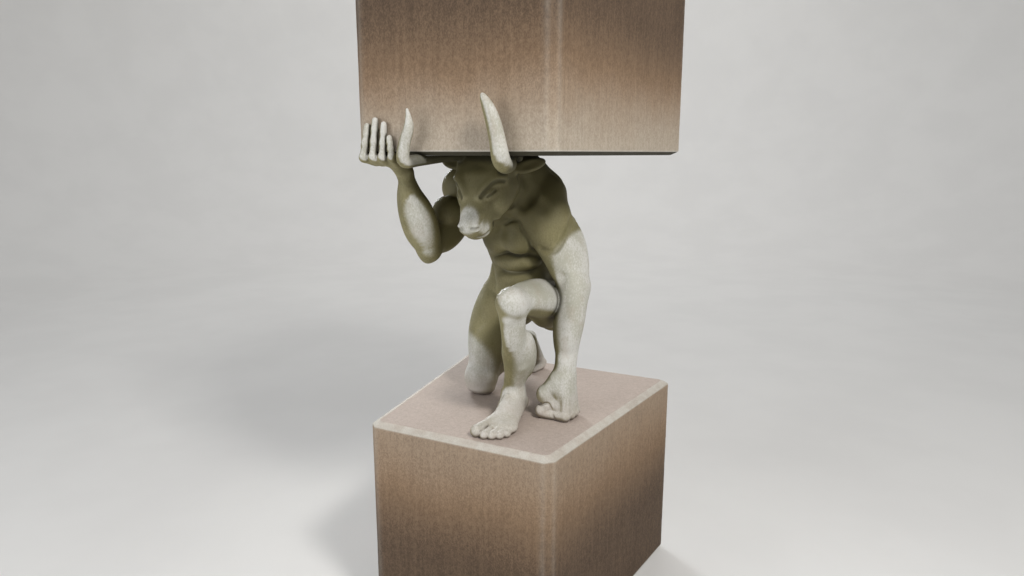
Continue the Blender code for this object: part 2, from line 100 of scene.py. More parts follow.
class Clay:
    """Signed distances on a regular grid, negative inside the figure."""

    def __init__(self, low, high, cell):
        self.low = np.array(low, float)
        self.cell = cell
        count = np.ceil((np.array(high) - self.low) / cell).astype(int) + 1
        self.field = np.full(count, FAR, np.float32)
        self.rulers = [(self.low[i] + cell * np.arange(count[i])).astype(np.float32)
                       for i in range(3)]
        self.lines = []

    def region(self, low, high):
        first = np.maximum(np.floor((low - self.low) / self.cell).astype(int), 0)
        last = np.ceil((high - self.low) / self.cell).astype(int) + 1
        last = np.maximum(np.minimum(last, self.field.shape), first)
        cut = tuple(slice(a, b) for a, b in zip(first, last))
        x, y, z = (ruler[c] for ruler, c in zip(self.rulers, cut))
        return cut, x[:, None, None], y[None, :, None], z[None, None, :]

    def soften(self, cut, new, radius, sign=1):
        """Smooth minimum of the old and the new distances.

        Where the two differ by less than the radius, a quarter of the squared
        remainder is taken off, which rounds the joint between the surfaces.
        """
        old = self.field[cut] * sign
        near = np.maximum(radius - np.abs(old - new), 0) / radius
        self.field[cut] = (np.minimum(old, new) - near * near * radius * 0.25) * sign

    def blend(self, shape, radius, sign):
        low, high, distance = shape
        room = radius + 4 * self.cell
        cut, x, y, z = self.region(low - room, high + room)
        self.soften(cut, distance(x, y, z), radius, sign)

    def add(self, shape, radius=0.02):
        """Put a shape on, with a soft joint of the given radius."""
        self.blend(shape, radius, 1)

    def carve(self, shape, radius=0.008):
        """Take a shape away, with a soft edge of the given radius."""
        self.blend(shape, radius, -1)

    def fresh(self):
        """Empty clay on the same grid."""
        high = [ruler[-1] - self.cell / 2 for ruler in self.rulers]
        return Clay(self.low, high, self.cell)

    def join(self, part, radius):
        """Put on a part that was modelled by itself, with a soft joint of the given radius."""
        used = part.field < FAR
        cut = []
        for others in ((1, 2), (0, 2), (0, 1)):
            filled = np.flatnonzero(used.any(axis=others))
            cut.append(slice(filled[0], filled[-1] + 1))
        cut = tuple(cut)
        self.soften(cut, part.field[cut], radius)

    def etch(self, points, direction, radius, softness, painted_shade=0.8):
        """Carve a line through points, which are first drawn back against a direction and
        then dropped along it onto the surface. Note it for the painted shade that darkens the line."""
        points = np.array(points, float) - unit(direction) * DRAWN_BACK
        for _ in range(50):
            step = np.clip(self.read(points) * 0.8, -DROP_STEP, DROP_STEP)
            points = points + unit(direction) * step[:, None]
        self.carve(rope(points, radius, 4 * len(points)), softness)
        self.lines.append((smooth_curve(points, 12 * len(points)), radius, painted_shade))

    def read(self, points):
        """Field at each point, by linear interpolation between the grid's corners."""
        place = (points - self.low) / self.cell
        place = np.clip(place, 0, np.array(self.field.shape) - 1.001)
        i = place.astype(int)
        t = place - i
        total = np.zeros(len(points))
        for corner in np.ndindex(2, 2, 2):
            weight = np.prod(np.where(corner, t, 1 - t), axis=1)
            j = i + corner
            total += weight * self.field[j[:, 0], j[:, 1], j[:, 2]]
        return total


def limb(a, b, radius_a, radius_b, side=(1, 0, 0), wide=1.0):
    """Cone with round ends from a to b, its section stretched along side."""
    a = np.array(a, float)
    b = np.array(b, float)
    axes = axes_along(b - a, side)
    length = np.linalg.norm(b - a)

    def distance(x, y, z):
        p, q, t = places_along(axes, a, x, y, z)
        p = p / wide
        share = np.clip(t / length, 0, 1)
        beyond = t - share * length
        radius = radius_a + (radius_b - radius_a) * share
        return np.sqrt(p * p + q * q + beyond * beyond) - radius

    reach = max(radius_a, radius_b) * max(wide, 1)
    return np.minimum(a, b) - reach, np.maximum(a, b) + reach, distance


def egg(centre, radii, along=(0, 0, 1), side=(1, 0, 0)):
    """Ellipsoid with radii near side, across it and along its axis."""
    c = np.array(centre, float)
    u, v, w = axes_along(along, side)
    ru, rv, rw = radii

    def distance(x, y, z):
        p, q, t = places_along((u, v, w), c, x, y, z)
        near = np.sqrt((p / ru) ** 2 + (q / rv) ** 2 + (t / rw) ** 2)
        steep = np.sqrt((p / ru ** 2) ** 2 + (q / rv ** 2) ** 2 + (t / rw ** 2) ** 2)
        return near * (near - 1) / (steep + 1e-9)

    reach = np.sqrt((u * ru) ** 2 + (v * rv) ** 2 + (w * rw) ** 2)
    return c - reach, c + reach, distance


def muscle(a, b, radius, side=(1, 0, 0), wide=1.0):
    """Muscle belly stretched from a to b."""
    a = np.array(a, float)
    b = np.array(b, float)
    half = np.linalg.norm(b - a) / 2
    return egg((a + b) / 2, (radius * wide, radius, half), b - a, side)


def wedge(a, b, half_a, half_b, rounding, side=(1, 0, 0)):
    """Tapering bar from a to b. Its section is a rectangle with round corners, given as
    half its width near side and half its width across it."""
    a = np.array(a, float)
    b = np.array(b, float)
    axes = axes_along(b - a, side)
    length = np.linalg.norm(b - a)

    def distance(x, y, z):
        p, q, t = places_along(axes, a, x, y, z)
        share = np.clip(t / length, 0, 1)
        p = np.abs(p) - (half_a[0] + (half_b[0] - half_a[0]) * share - rounding)
        q = np.abs(q) - (half_a[1] + (half_b[1] - half_a[1]) * share - rounding)
        t = np.abs(t - length / 2) - (length / 2 - rounding)
        outside = np.sqrt(np.maximum(p, 0) ** 2 + np.maximum(q, 0) ** 2 + np.maximum(t, 0) ** 2)
        return outside + np.minimum(np.maximum(np.maximum(p, q), t), 0) - rounding

    reach = max(*half_a, *half_b) * 1.42
    return np.minimum(a, b) - reach, np.maximum(a, b) + reach, distance


def smooth_curve(points, count):
    """Catmull-Rom curve through the points, read at even steps."""
    p = np.array(points, float)
    p = np.vstack([2 * p[0] - p[1], p, 2 * p[-1] - p[-2]])
    t = np.linspace(0, len(p) - 3 - 1e-9, count)
    i = t.astype(int)
    t = (t - i)[:, None]
    a, b, c, d = p[i], p[i + 1], p[i + 2], p[i + 3]
    return 0.5 * (2 * b + (c - a) * t + (2 * a - 5 * b + 4 * c - d) * t ** 2
                  + (3 * b - a - 3 * c + d) * t ** 3)


def rope(points, radii, count=18):
    """Round bar along a curve, its radius running through the radii."""
    radii = np.broadcast_to(radii, len(points))
    rows = smooth_curve(np.column_stack([points, radii]), count)
    parts = [limb(a[:3], b[:3], a[3], b[3]) for a, b in zip(rows[:-1], rows[1:])]
    low = np.min([part[0] for part in parts], axis=0)
    high = np.max([part[1] for part in parts], axis=0)

    def distance(x, y, z):
        nearest = parts[0][2](x, y, z)
        for part in parts[1:]:
            nearest = np.minimum(nearest, part[2](x, y, z))
        return nearest

    return low, high, distance


# Joints of the figure, as shares of the clear height
HIP_LEFT = (0.115, 0.090, 0.395)
KNEE_LEFT = (0.154, -0.352, 0.484)
ANKLE_LEFT = (0.083, -0.195, 0.098)
HEEL_LEFT = (0.080, -0.155, 0.040)
HIP_RIGHT = (-0.100, 0.100, 0.420)
KNEE_RIGHT = (-0.166, -0.020, 0.068)
ANKLE_RIGHT = (-0.145, 0.400, 0.128)
ELBOW_LEFT = (0.272, -0.060, 0.500)
WRIST_LEFT = (0.268, -0.135, 0.205)
SHOULDER_RIGHT = (-0.215, -0.050, 0.850)
ELBOW_RIGHT = (-0.213, -0.318, 0.648)
WRIST_RIGHT = (-0.240, -0.428, 0.940)
MIDLINE = 0.010
# Way to the open side, from where the key light reaches in under the load; the painted light on the figure
# follows it too
OPEN_SIDE = (0.88, -0.58, 1.0)
# Places whose front gets a pool of painted light, one row each: place and radius
PAINTED_LIGHT_SPOTS = [(-0.218, -0.066, 0.125, 0.138), (0.014, -0.455, 0.785, 0.060)]
# How strong those pools of painted light are
PAINTED_LIGHT_SPOT_SHARE = 0.45
# Way that the camera looks at the figure
VIEW = (-0.475, 0.879, -0.052)

# Point between the eyes, and the way down the face
FACE = (0.010, -0.395, 0.880)
FACE_DOWN = (0.050, -0.470, -0.880)

# Horns, one row a point: place and radius
HORN_LEFT = [(0.080, -0.270, 0.972, 0.0320), (0.150, -0.380, 0.973, 0.0300),
             (0.198, -0.500, 0.972, 0.0280), (0.214, -0.556, 0.993, 0.0290),
             (0.206, -0.561, 1.045, 0.0265), (0.193, -0.563, 1.100, 0.0245),
             (0.178, -0.567, 1.145, 0.0200), (0.166, -0.572, 1.172, 0.0135),
             (0.160, -0.572, 1.184, 0.0078)]
HORN_RIGHT = [(-0.060, -0.270, 1.006, 0.0240), (-0.090, -0.380, 0.996, 0.0180),
              (-0.126, -0.500, 0.985, 0.0200), (-0.156, -0.550, 0.983, 0.0225),
              (-0.145, -0.562, 1.035, 0.0205), (-0.124, -0.564, 1.090, 0.0170),
              (-0.125, -0.562, 1.125, 0.0100), (-0.131, -0.560, 1.150, 0.0045)]

# Right hand, one row a finger: x of its knuckle, x and z of its tip
FINGERS_RIGHT = [(-0.340, -0.321, 1.100), (-0.300, -0.286, 1.119),
                 (-0.260, -0.250, 1.105), (-0.220, -0.229, 1.060)]
# Raised finger: shares of its length from the knuckle up, and its radius at each
FINGER_SHARES = vector(0.02, 0.16, 0.30, 0.42, 0.54, 0.64, 0.74, 0.84, 0.93, 1.0)
FINGER_RADII = vector(0.0140, 0.0122, 0.0118, 0.0136, 0.0118, 0.0112, 0.0126, 0.0116, 0.0112, 0.0098)
# Left fist, one row a finger: x and y of its knuckle
KNUCKLES_LEFT = [(0.290, -0.178), (0.298, -0.148), (0.301, -0.119), (0.296, -0.092)]
# Left foot, one row a toe: root, tip and radius
TOES_LEFT = [((0.070, -0.365), (0.056, -0.448), 0.0215),
             ((0.098, -0.375), (0.091, -0.455), 0.0150),
             ((0.121, -0.375), (0.118, -0.447), 0.0145),
             ((0.142, -0.365), (0.142, -0.432), 0.0140),
             ((0.157, -0.345), (0.157, -0.408), 0.0130)]


def model_torso(clay):
    """Pelvis, belly, ribcage and the bowed upper back under the load."""
    clay.add(egg((MIDLINE, 0.120, 0.420), (0.160, 0.112, 0.108), (0, 0.1, 1)))
    clay.add(egg((MIDLINE, 0.085, 0.550), (0.116, 0.096, 0.150), (0, -0.25, 1)), 0.06)
    clay.add(egg((0.005, 0.015, 0.730), (0.146, 0.116, 0.180), (0, -0.35, 1)), 0.05)
    clay.add(egg((-0.010, 0.000, 0.885), (0.155, 0.138, 0.138), (0, -0.5, 1)), 0.04)
    for side in (-1, 1):
        x = MIDLINE + side * 0.045
        clay.add(rope([(x + side * 0.020, 0.190, 0.440), (x, 0.160, 0.560), (x, 0.135, 0.680),
                       (x + side * 0.010, 0.110, 0.800)], [0.030, 0.036, 0.034, 0.030]), 0.030)
        # Buttock and the muscle over the hip
        clay.add(egg((MIDLINE + side * 0.085, 0.165, 0.360), (0.088, 0.100, 0.100), (0, 0.2, 1)), 0.012)
        clay.add(egg((MIDLINE + side * 0.125, 0.100, 0.455), (0.045, 0.070, 0.055), (0, 0.3, 1)), 0.03)
    # Broad back muscles, from the armpits to the waist
    clay.add(limb((0.135, 0.050, 0.770), (0.085, 0.115, 0.520), 0.054, 0.030, (0, 1, 0), 1.25), 0.03)
    clay.add(limb((-0.140, 0.045, 0.810), (-0.075, 0.115, 0.520), 0.058, 0.030, (0, 1, 0), 1.25), 0.03)
    # Shoulder blades with their muscles, and the hood muscle between them
    for side, x, lift in ((1, 0.098, 0.0), (-1, -0.118, 0.010)):
        clay.add(egg((x, 0.078, 0.850 + lift), (0.070, 0.044, 0.092), (side * 0.15, -0.35, 1),
                     (1, side * 0.5, 0)), 0.030)
        clay.add(muscle((x - side * 0.045, 0.126, 0.800 + lift), (x + side * 0.060, 0.055, 0.830 + lift),
                        0.028), 0.020)
        clay.add(limb((-0.006 + side * 0.020, 0.085, 0.960), (side * 0.010, 0.145, 0.740),
                      0.050, 0.020), 0.022)
    # Flanks
    clay.add(limb((-0.078, -0.030, 0.700), (-0.048, 0.020, 0.550), 0.064, 0.060), 0.03)
    clay.add(limb((0.092, -0.010, 0.700), (0.072, 0.030, 0.550), 0.064, 0.060), 0.03)
    model_chest(clay)
    # Furrow of the spine, and the cleft below it
    clay.carve(rope([(-0.004, 0.140, 0.985), (-0.002, 0.172, 0.880), (0.004, 0.176, 0.760),
                     (0.010, 0.176, 0.640), (0.010, 0.200, 0.500)], 0.010), 0.030)
    clay.carve(rope([(MIDLINE, 0.235, 0.460), (MIDLINE, 0.262, 0.380), (MIDLINE, 0.200, 0.290)],
                    0.006), 0.020)


def model_chest(clay):
    """Chest and belly, folded by the stoop."""
    clay.add(egg((-0.078, -0.100, 0.752), (0.088, 0.050, 0.070), (-0.35, -0.25, 1)), 0.018)
    clay.add(egg((0.046, -0.084, 0.728), (0.082, 0.050, 0.052), (0.4, -0.2, 1)), 0.014)
    # Upper belly, pushed out below the ribs
    clay.add(egg((-0.050, -0.062, 0.674), (0.064, 0.056, 0.062), (-0.25, -0.2, 1)), 0.024)
    clay.add(egg((0.046, -0.086, 0.668), (0.060, 0.056, 0.046), (0.25, -0.2, 1)), 0.034)
    # Two folds of the lower belly
    clay.add(egg((0.018, -0.036, 0.590), (0.104, 0.064, 0.044), (0, -0.2, 1)), 0.008)
    clay.add(egg((0.016, 0.000, 0.512), (0.112, 0.074, 0.056), (0, -0.2, 1)), 0.018)
    clay.add(egg((MIDLINE, 0.020, 0.455), (0.110, 0.074, 0.060)), 0.03)


def model_left_arm(clay):
    """The straight arm that leans on its fist."""
    elbow, wrist = vector(*ELBOW_LEFT), vector(*WRIST_LEFT)
    arm = clay.fresh()
    # Shoulder's heavy front and middle heads, hung over the armpit
    arm.add(limb((0.020, -0.010, 0.925), (0.135, 0.004, 0.852), 0.072, 0.070))
    arm.add(egg((0.152, -0.038, 0.765), (0.090, 0.082, 0.132), (-0.28, 0.10, 1)), 0.03)
    arm.add(limb((0.030, -0.090, 0.822), (0.105, -0.072, 0.795), 0.064, 0.070), 0.03)
    arm.add(limb((0.055, -0.095, 0.900), (0.100, -0.070, 0.800), 0.054, 0.060), 0.03)
    arm.add(muscle((0.070, -0.100, 0.810), (0.190, -0.086, 0.655), 0.046, wide=1.3), 0.03)
    # Triceps behind it, and the fold that runs from the armpit to the elbow
    arm.add(rope([(0.206, 0.014, 0.735), (0.236, -0.002, 0.668), (0.262, -0.024, 0.590),
                  (0.270, -0.040, 0.520)], [0.040, 0.053, 0.053, 0.049], 12), 0.018)
    arm.add(limb((0.140, -0.070, 0.700), (0.250, -0.070, 0.530), 0.052, 0.044), 0.014)
    arm.add(limb((0.190, -0.040, 0.720), elbow, 0.060, 0.050), 0.03)
    # Elbow: bone at the back, hollow in front
    arm.add(egg(elbow + (0.000, 0.004, 0.000), (0.052, 0.044, 0.060)), 0.025)
    arm.add(egg(elbow + (0.004, 0.038, 0.004), (0.018, 0.014, 0.024)), 0.016)
    arm.carve(egg((0.245, -0.128, 0.530), (0.020, 0.020, 0.036)), 0.03)
    # Forearm
    arm.add(limb(elbow, wrist + (0.002, 0, -0.030), 0.050, 0.036, (0.9, 0.45, 0), 1.06), 0.03)
    arm.add(muscle(elbow + (0.018, -0.012, 0.050), wrist + (0.014, -0.006, 0.070), 0.047), 0.03)
    arm.add(muscle(elbow + (-0.012, -0.010, 0.010), wrist + (-0.014, 0.000, 0.050), 0.044), 0.03)
    clay.join(arm, 0.010)
    # Crease under the heavy shoulder, and the fold from the chest down to the elbow
    clay.etch([(0.216, 0.020, 0.760), (0.222, -0.030, 0.712), (0.214, -0.070, 0.672),
               (0.200, -0.080, 0.648), (0.176, -0.090, 0.640), (0.150, -0.100, 0.648)], VIEW, 0.007, 0.018)
    clay.etch([(0.022, -0.150, 0.742), (0.050, -0.150, 0.756), (0.076, -0.145, 0.753),
               (0.090, -0.140, 0.718), (0.110, -0.130, 0.690), (0.130, -0.120, 0.656),
               (0.155, -0.110, 0.612), (0.178, -0.100, 0.572)], VIEW, 0.0065, 0.009)
    # Hollow between the neck and the shoulder, and the dent below it
    clay.carve(egg((0.128, -0.142, 0.866), (0.014, 0.030, 0.042), (0.15, 0, 1)), 0.026)
    clay.carve(egg((0.168, -0.134, 0.815), (0.012, 0.022, 0.034), (-0.5, 0, 1)), 0.030)


def model_left_fist(clay):
    """Fist on the plinth: knuckles down, thumb's ball and bent finger towards the foot."""
    wrist = vector(*WRIST_LEFT)
    hand = clay.fresh()
    hand.add(limb(wrist + (0, 0, 0.020), (0.270, -0.138, 0.120), 0.022, 0.040, (0, 1, 0), 1.12))
    hand.add(wedge((0.266, -0.138, 0.160), (0.278, -0.134, 0.022), (0.036, 0.034), (0.054, 0.030), 0.024,
                   (0, 1, 0)), 0.03)
    hand.add(egg((0.240, -0.134, 0.056), (0.046, 0.052, 0.046)), 0.01)
    for number, (x, y) in enumerate(KNUCKLES_LEFT):
        knuckle = vector(x, y, 0.022)
        hand.add(limb(wrist + (0.018, 0.018 * number - 0.027, -0.040), knuckle + (0.002, 0, 0.004),
                      0.014, 0.0165), 0.012)
        hand.add(egg(knuckle, (0.021, 0.0170, 0.022)), 0.006)
        bend = knuckle + (-0.084, 0.004, -0.002)
        hand.add(rope([knuckle, knuckle + (-0.040, 0.002, -0.003), bend, bend + (0.006, 0.001, 0.030)],
                      [0.021, 0.0175, 0.020, 0.017], 12), 0.005)
    # First finger's bent joint, and the ball of the thumb over it
    hand.add(egg((0.190, -0.164, 0.026), (0.037, 0.028, 0.027), (1, 0, 0.1), (0, 1, 0)), 0.008)
    hand.add(limb((0.240, -0.150, 0.150), (0.208, -0.156, 0.096), 0.032, 0.034), 0.024)
    hand.add(egg((0.200, -0.158, 0.090), (0.037, 0.032, 0.040), (0.4, 0, 1)), 0.010)
    clay.join(hand, 0.030)
    clay.etch([(0.160, -0.18, 0.050), (0.190, -0.19, 0.054), (0.222, -0.19, 0.064), (0.236, -0.19, 0.050),
               (0.246, -0.195, 0.024), (0.262, -0.20, 0.008)], VIEW, 0.003, 0.007)


def model_right_arm(clay):
    """The bent arm that steadies the load on its palm."""
    shoulder, elbow, wrist = vector(*SHOULDER_RIGHT), vector(*ELBOW_RIGHT), vector(*WRIST_RIGHT)
    clay.add(limb((-0.050, -0.020, 0.920), shoulder, 0.074, 0.066), 0.04)
    clay.add(egg((-0.222, -0.055, 0.872), (0.084, 0.082, 0.084)), 0.02)
    arm = clay.fresh()
    # Upper arm: the ball of the bent biceps above, the triceps below
    arm.add(limb(shoulder, elbow, 0.056, 0.044))
    arm.add(egg((-0.202, -0.205, 0.786), (0.058, 0.060, 0.066), (0, -0.85, -0.55)), 0.010)
    arm.add(muscle(shoulder + (-0.004, 0.020, -0.070), elbow + (0.010, 0.040, -0.004), 0.054), 0.020)
    arm.add(muscle(shoulder + (-0.030, 0, -0.040), elbow + (-0.022, 0.070, 0.010), 0.042), 0.020)
    clay.join(arm, 0.012)
    fore = clay.fresh()
    fore.add(rope([wrist + (0, 0, 0.006), (-0.237, -0.412, 0.890), (-0.235, -0.394, 0.840),
                   (-0.233, -0.374, 0.785), (-0.228, -0.350, 0.725), (-0.217, -0.325, 0.668)],
                  [0.0255, 0.034, 0.045, 0.053, 0.056, 0.048], 22))
    fore.add(muscle((-0.260, -0.404, 0.910), (-0.254, -0.336, 0.670), 0.043), 0.03)
    fore.add(muscle((-0.206, -0.390, 0.850), (-0.190, -0.326, 0.670), 0.038), 0.03)
    # Elbow point
    fore.add(egg(elbow + (-0.006, 0.004, -0.004), (0.042, 0.042, 0.042)), 0.02)
    fore.add(egg(elbow + (-0.014, 0.004, -0.030), (0.020, 0.020, 0.020)), 0.020)
    clay.join(fore, 0.010)
    clay.add(egg(wrist + (-0.002, -0.024, 0.004), (0.016, 0.013, 0.015)), 0.008)


def model_right_hand(clay):
    """Palm under the block's front edge, fingers up against its face."""
    wrist = vector(*WRIST_RIGHT)
    touch = FRONT / CLEAR - 0.0125
    palm = (-0.284, -0.478, 0.986)
    clay.add(limb(wrist, (-0.256, -0.462, 0.976), 0.025, 0.022, wide=1.4), 0.016)
    clay.add(egg(palm, (0.064, 0.054, 0.020)), 0.012)
    clay.add(egg((-0.245, -0.462, 0.972), (0.034, 0.034, 0.020)), 0.012)
    # Thumb, flat under the load
    clay.add(rope([(-0.290, -0.450, 0.978), (-0.326, -0.440, 0.985), (-0.352, -0.444, 0.990)],
                  [0.019, 0.015, 0.012], 10), 0.010)
    for number, (knuckle_x, tip_x, tip_z) in enumerate(FINGERS_RIGHT):
        size = 1.12 - 0.05 * number
        knuckle = vector(knuckle_x, touch - 0.002, 0.992)
        tip = vector(tip_x, touch, tip_z)
        rise = tip - knuckle
        clay.add(limb((knuckle_x * 0.72 - 0.076, -0.486, 0.981), knuckle, 0.018, 0.0138 * size), 0.012)
        clay.add(egg(knuckle + (0, 0.003, 0.006), (0.0140 * size, 0.0130, 0.018)), 0.012)
        clay.add(rope(knuckle + rise * FINGER_SHARES[:, None], FINGER_RADII * size, 24), 0.003)


def model_left_leg(clay):
    """The leg set forward, with its foot flat on the plinth."""
    hip, knee, ankle = vector(*HIP_LEFT), vector(*KNEE_LEFT), vector(*ANKLE_LEFT)
    leg = clay.fresh()
    leg.add(rope([hip, (0.140, -0.100, 0.452), (0.152, -0.250, 0.480), knee],
                 [0.094, 0.074, 0.060, 0.054], 14))
    # Thigh muscles: middle, outer, inner and the ham behind
    leg.add(muscle(hip + (0.014, -0.040, 0.050), knee + (0.000, 0.020, 0.014), 0.056), 0.03)
    leg.add(muscle(hip + (0.052, -0.070, 0.020), knee + (0.044, 0.070, 0.000), 0.054), 0.03)
    leg.add(muscle(hip + (-0.030, -0.080, 0.010), knee + (-0.026, 0.040, 0.000), 0.050), 0.03)
    leg.add(muscle((0.125, 0.100, 0.345), (0.152, -0.130, 0.408), 0.060), 0.02)
    # Knee cap between its soft pads
    leg.add(egg(knee + (-0.002, -0.014, 0.000), (0.048, 0.048, 0.056)), 0.02)
    leg.add(egg(knee + (-0.010, -0.038, 0.010), (0.030, 0.020, 0.032), (0, -0.35, 1)), 0.020)
    leg.add(limb(knee, ankle, 0.050, 0.032), 0.02)
    # Shin bone with its edge, shin muscle and the two bellies of the calf
    leg.add(rope([knee + (-0.012, -0.022, -0.060), knee + (-0.024, 0.012, -0.170),
                  ankle + (-0.008, -0.018, 0.130), ankle + (-0.008, -0.016, 0.030)],
                 [0.024, 0.020, 0.017, 0.020], 16), 0.025)
    leg.add(muscle(knee + (0.008, -0.010, -0.050), ankle + (0.012, -0.012, 0.040), 0.036), 0.02)
    leg.add(muscle((0.162, -0.272, 0.364), (0.108, -0.162, 0.148), 0.048), 0.02)
    leg.add(muscle((0.132, -0.272, 0.356), (0.086, -0.162, 0.155), 0.045), 0.02)
    # Heel cord and ankle bones
    leg.add(limb(knee + (-0.020, 0.110, -0.260), (0.080, -0.140, 0.060), 0.022, 0.014), 0.022)
    leg.add(limb(ankle, HEEL_LEFT, 0.034, 0.034))
    leg.add(egg(ankle + (0.028, 0.000, -0.024), (0.013, 0.018, 0.020)), 0.014)
    leg.add(egg(ankle + (-0.028, -0.008, -0.012), (0.013, 0.017, 0.020)), 0.014)
    clay.join(leg, 0.012)
    model_left_foot(clay, ankle)


def model_left_foot(clay, ankle):
    """Instep, arch, ball and the five toes."""
    clay.add(limb(ankle + (0, -0.010, -0.016), (0.096, -0.330, 0.032), 0.035, 0.026,
                  (1, 0.2, 0), 1.25), 0.03)
    clay.add(limb(HEEL_LEFT, (0.138, -0.335, 0.022), 0.034, 0.024, wide=1.1), 0.02)
    clay.add(egg((0.070, -0.352, 0.024), (0.026, 0.032, 0.024), (0, 0, 1)), 0.014)
    clay.carve(egg((0.046, -0.270, 0.000), (0.018, 0.055, 0.020)), 0.020)
    clay.add(egg((0.112, -0.366, 0.018), (0.066, 0.046, 0.026), (0, 0, 1)), 0.016)
    for (root_x, root_y), (tip_x, tip_y), radius in TOES_LEFT:
        root = vector(root_x, root_y, radius + 0.006)
        tip = vector(tip_x, tip_y, radius - 0.002)
        middle = root * 0.45 + tip * 0.55 + (0, 0, 0.003)
        clay.add(rope([root, middle, tip], [radius * 0.90, radius * 0.86, radius * 1.10], 10), 0.003)
        clay.add(egg(tip + (0, -0.002, radius * 0.92), (radius * 0.55, radius * 0.20, radius * 0.60),
                     (0, -1, 0.35)), 0.002)
        clay.add(limb(ankle + (0, -0.060, -0.010), root, 0.008, 0.007), 0.012)


def model_right_leg(clay):
    """The kneeling leg, toes bent under the raised heel."""
    hip, knee, ankle = vector(*HIP_RIGHT), vector(*KNEE_RIGHT), vector(*ANKLE_RIGHT)
    leg = clay.fresh()
    leg.add(limb(hip, knee, 0.098, 0.060))
    leg.add(egg((-0.098, 0.085, 0.520), (0.058, 0.076, 0.086)), 0.04)
    leg.add(muscle(hip + (-0.058, -0.010, 0.030), knee + (-0.022, 0.020, 0.070), 0.068), 0.04)
    leg.add(muscle(hip + (-0.006, -0.060, 0.010), knee + (0.010, -0.020, 0.060), 0.068), 0.04)
    leg.add(muscle(hip + (0.040, -0.020, -0.020), knee + (0.034, 0.010, 0.050), 0.060), 0.04)
    leg.add(muscle(hip + (-0.010, 0.060, -0.040), knee + (0.000, 0.090, 0.060), 0.060), 0.03)
    # Knee: the cap looks forward, its fat pads press on the plinth
    leg.add(egg(knee + (0.008, 0, 0.004), (0.070, 0.058, 0.072)), 0.02)
    leg.add(egg(knee + (0.000, -0.040, 0.016), (0.034, 0.022, 0.038)), 0.020)
    leg.add(egg(knee + (0.010, -0.014, -0.040), (0.064, 0.044, 0.030)), 0.012)
    leg.add(limb(knee, ankle, 0.054, 0.032), 0.03)
    leg.add(muscle(knee + (-0.022, 0.060, 0.026), ankle + (-0.008, -0.100, 0.016), 0.054), 0.016)
    leg.add(muscle(knee + (0.024, 0.060, 0.026), ankle + (0.012, -0.120, 0.016), 0.052), 0.016)
    leg.add(limb(ankle + (0, -0.110, 0.014), ankle + (0, 0.030, 0.022), 0.022, 0.014), 0.02)
    # Heel, ankle bones and the foot set upright on its toes
    leg.add(egg(ankle + (-0.002, 0.040, 0.008), (0.030, 0.034, 0.030)), 0.016)
    leg.add(egg(ankle + (-0.036, 0.000, 0.004), (0.012, 0.018, 0.016)), 0.014)
    leg.add(egg(ankle + (0.034, -0.006, 0.008), (0.012, 0.018, 0.016)), 0.014)
    leg.add(limb(ankle, (-0.098, 0.404, 0.040), 0.032, 0.024, wide=1.45), 0.02)
    clay.join(leg, 0.014)
    for number in range(5):
        across = -0.064 - 0.0205 * number
        root = vector(across, 0.404, 0.030)
        bend = vector(across - 0.004, 0.386, 0.014)
        tip = vector(across - 0.014, 0.322 + 0.012 * number, 0.010)
        radius = (0.0200 if number == 0 else 0.0160) - 0.0008 * number
        clay.add(limb((-0.118 + 0.20 * (across + 0.105), 0.412, 0.110), root, 0.017, 0.014), 0.012)
        clay.add(rope([root, bend, tip], [radius, radius * 0.95, radius * 0.80], 10), 0.006)


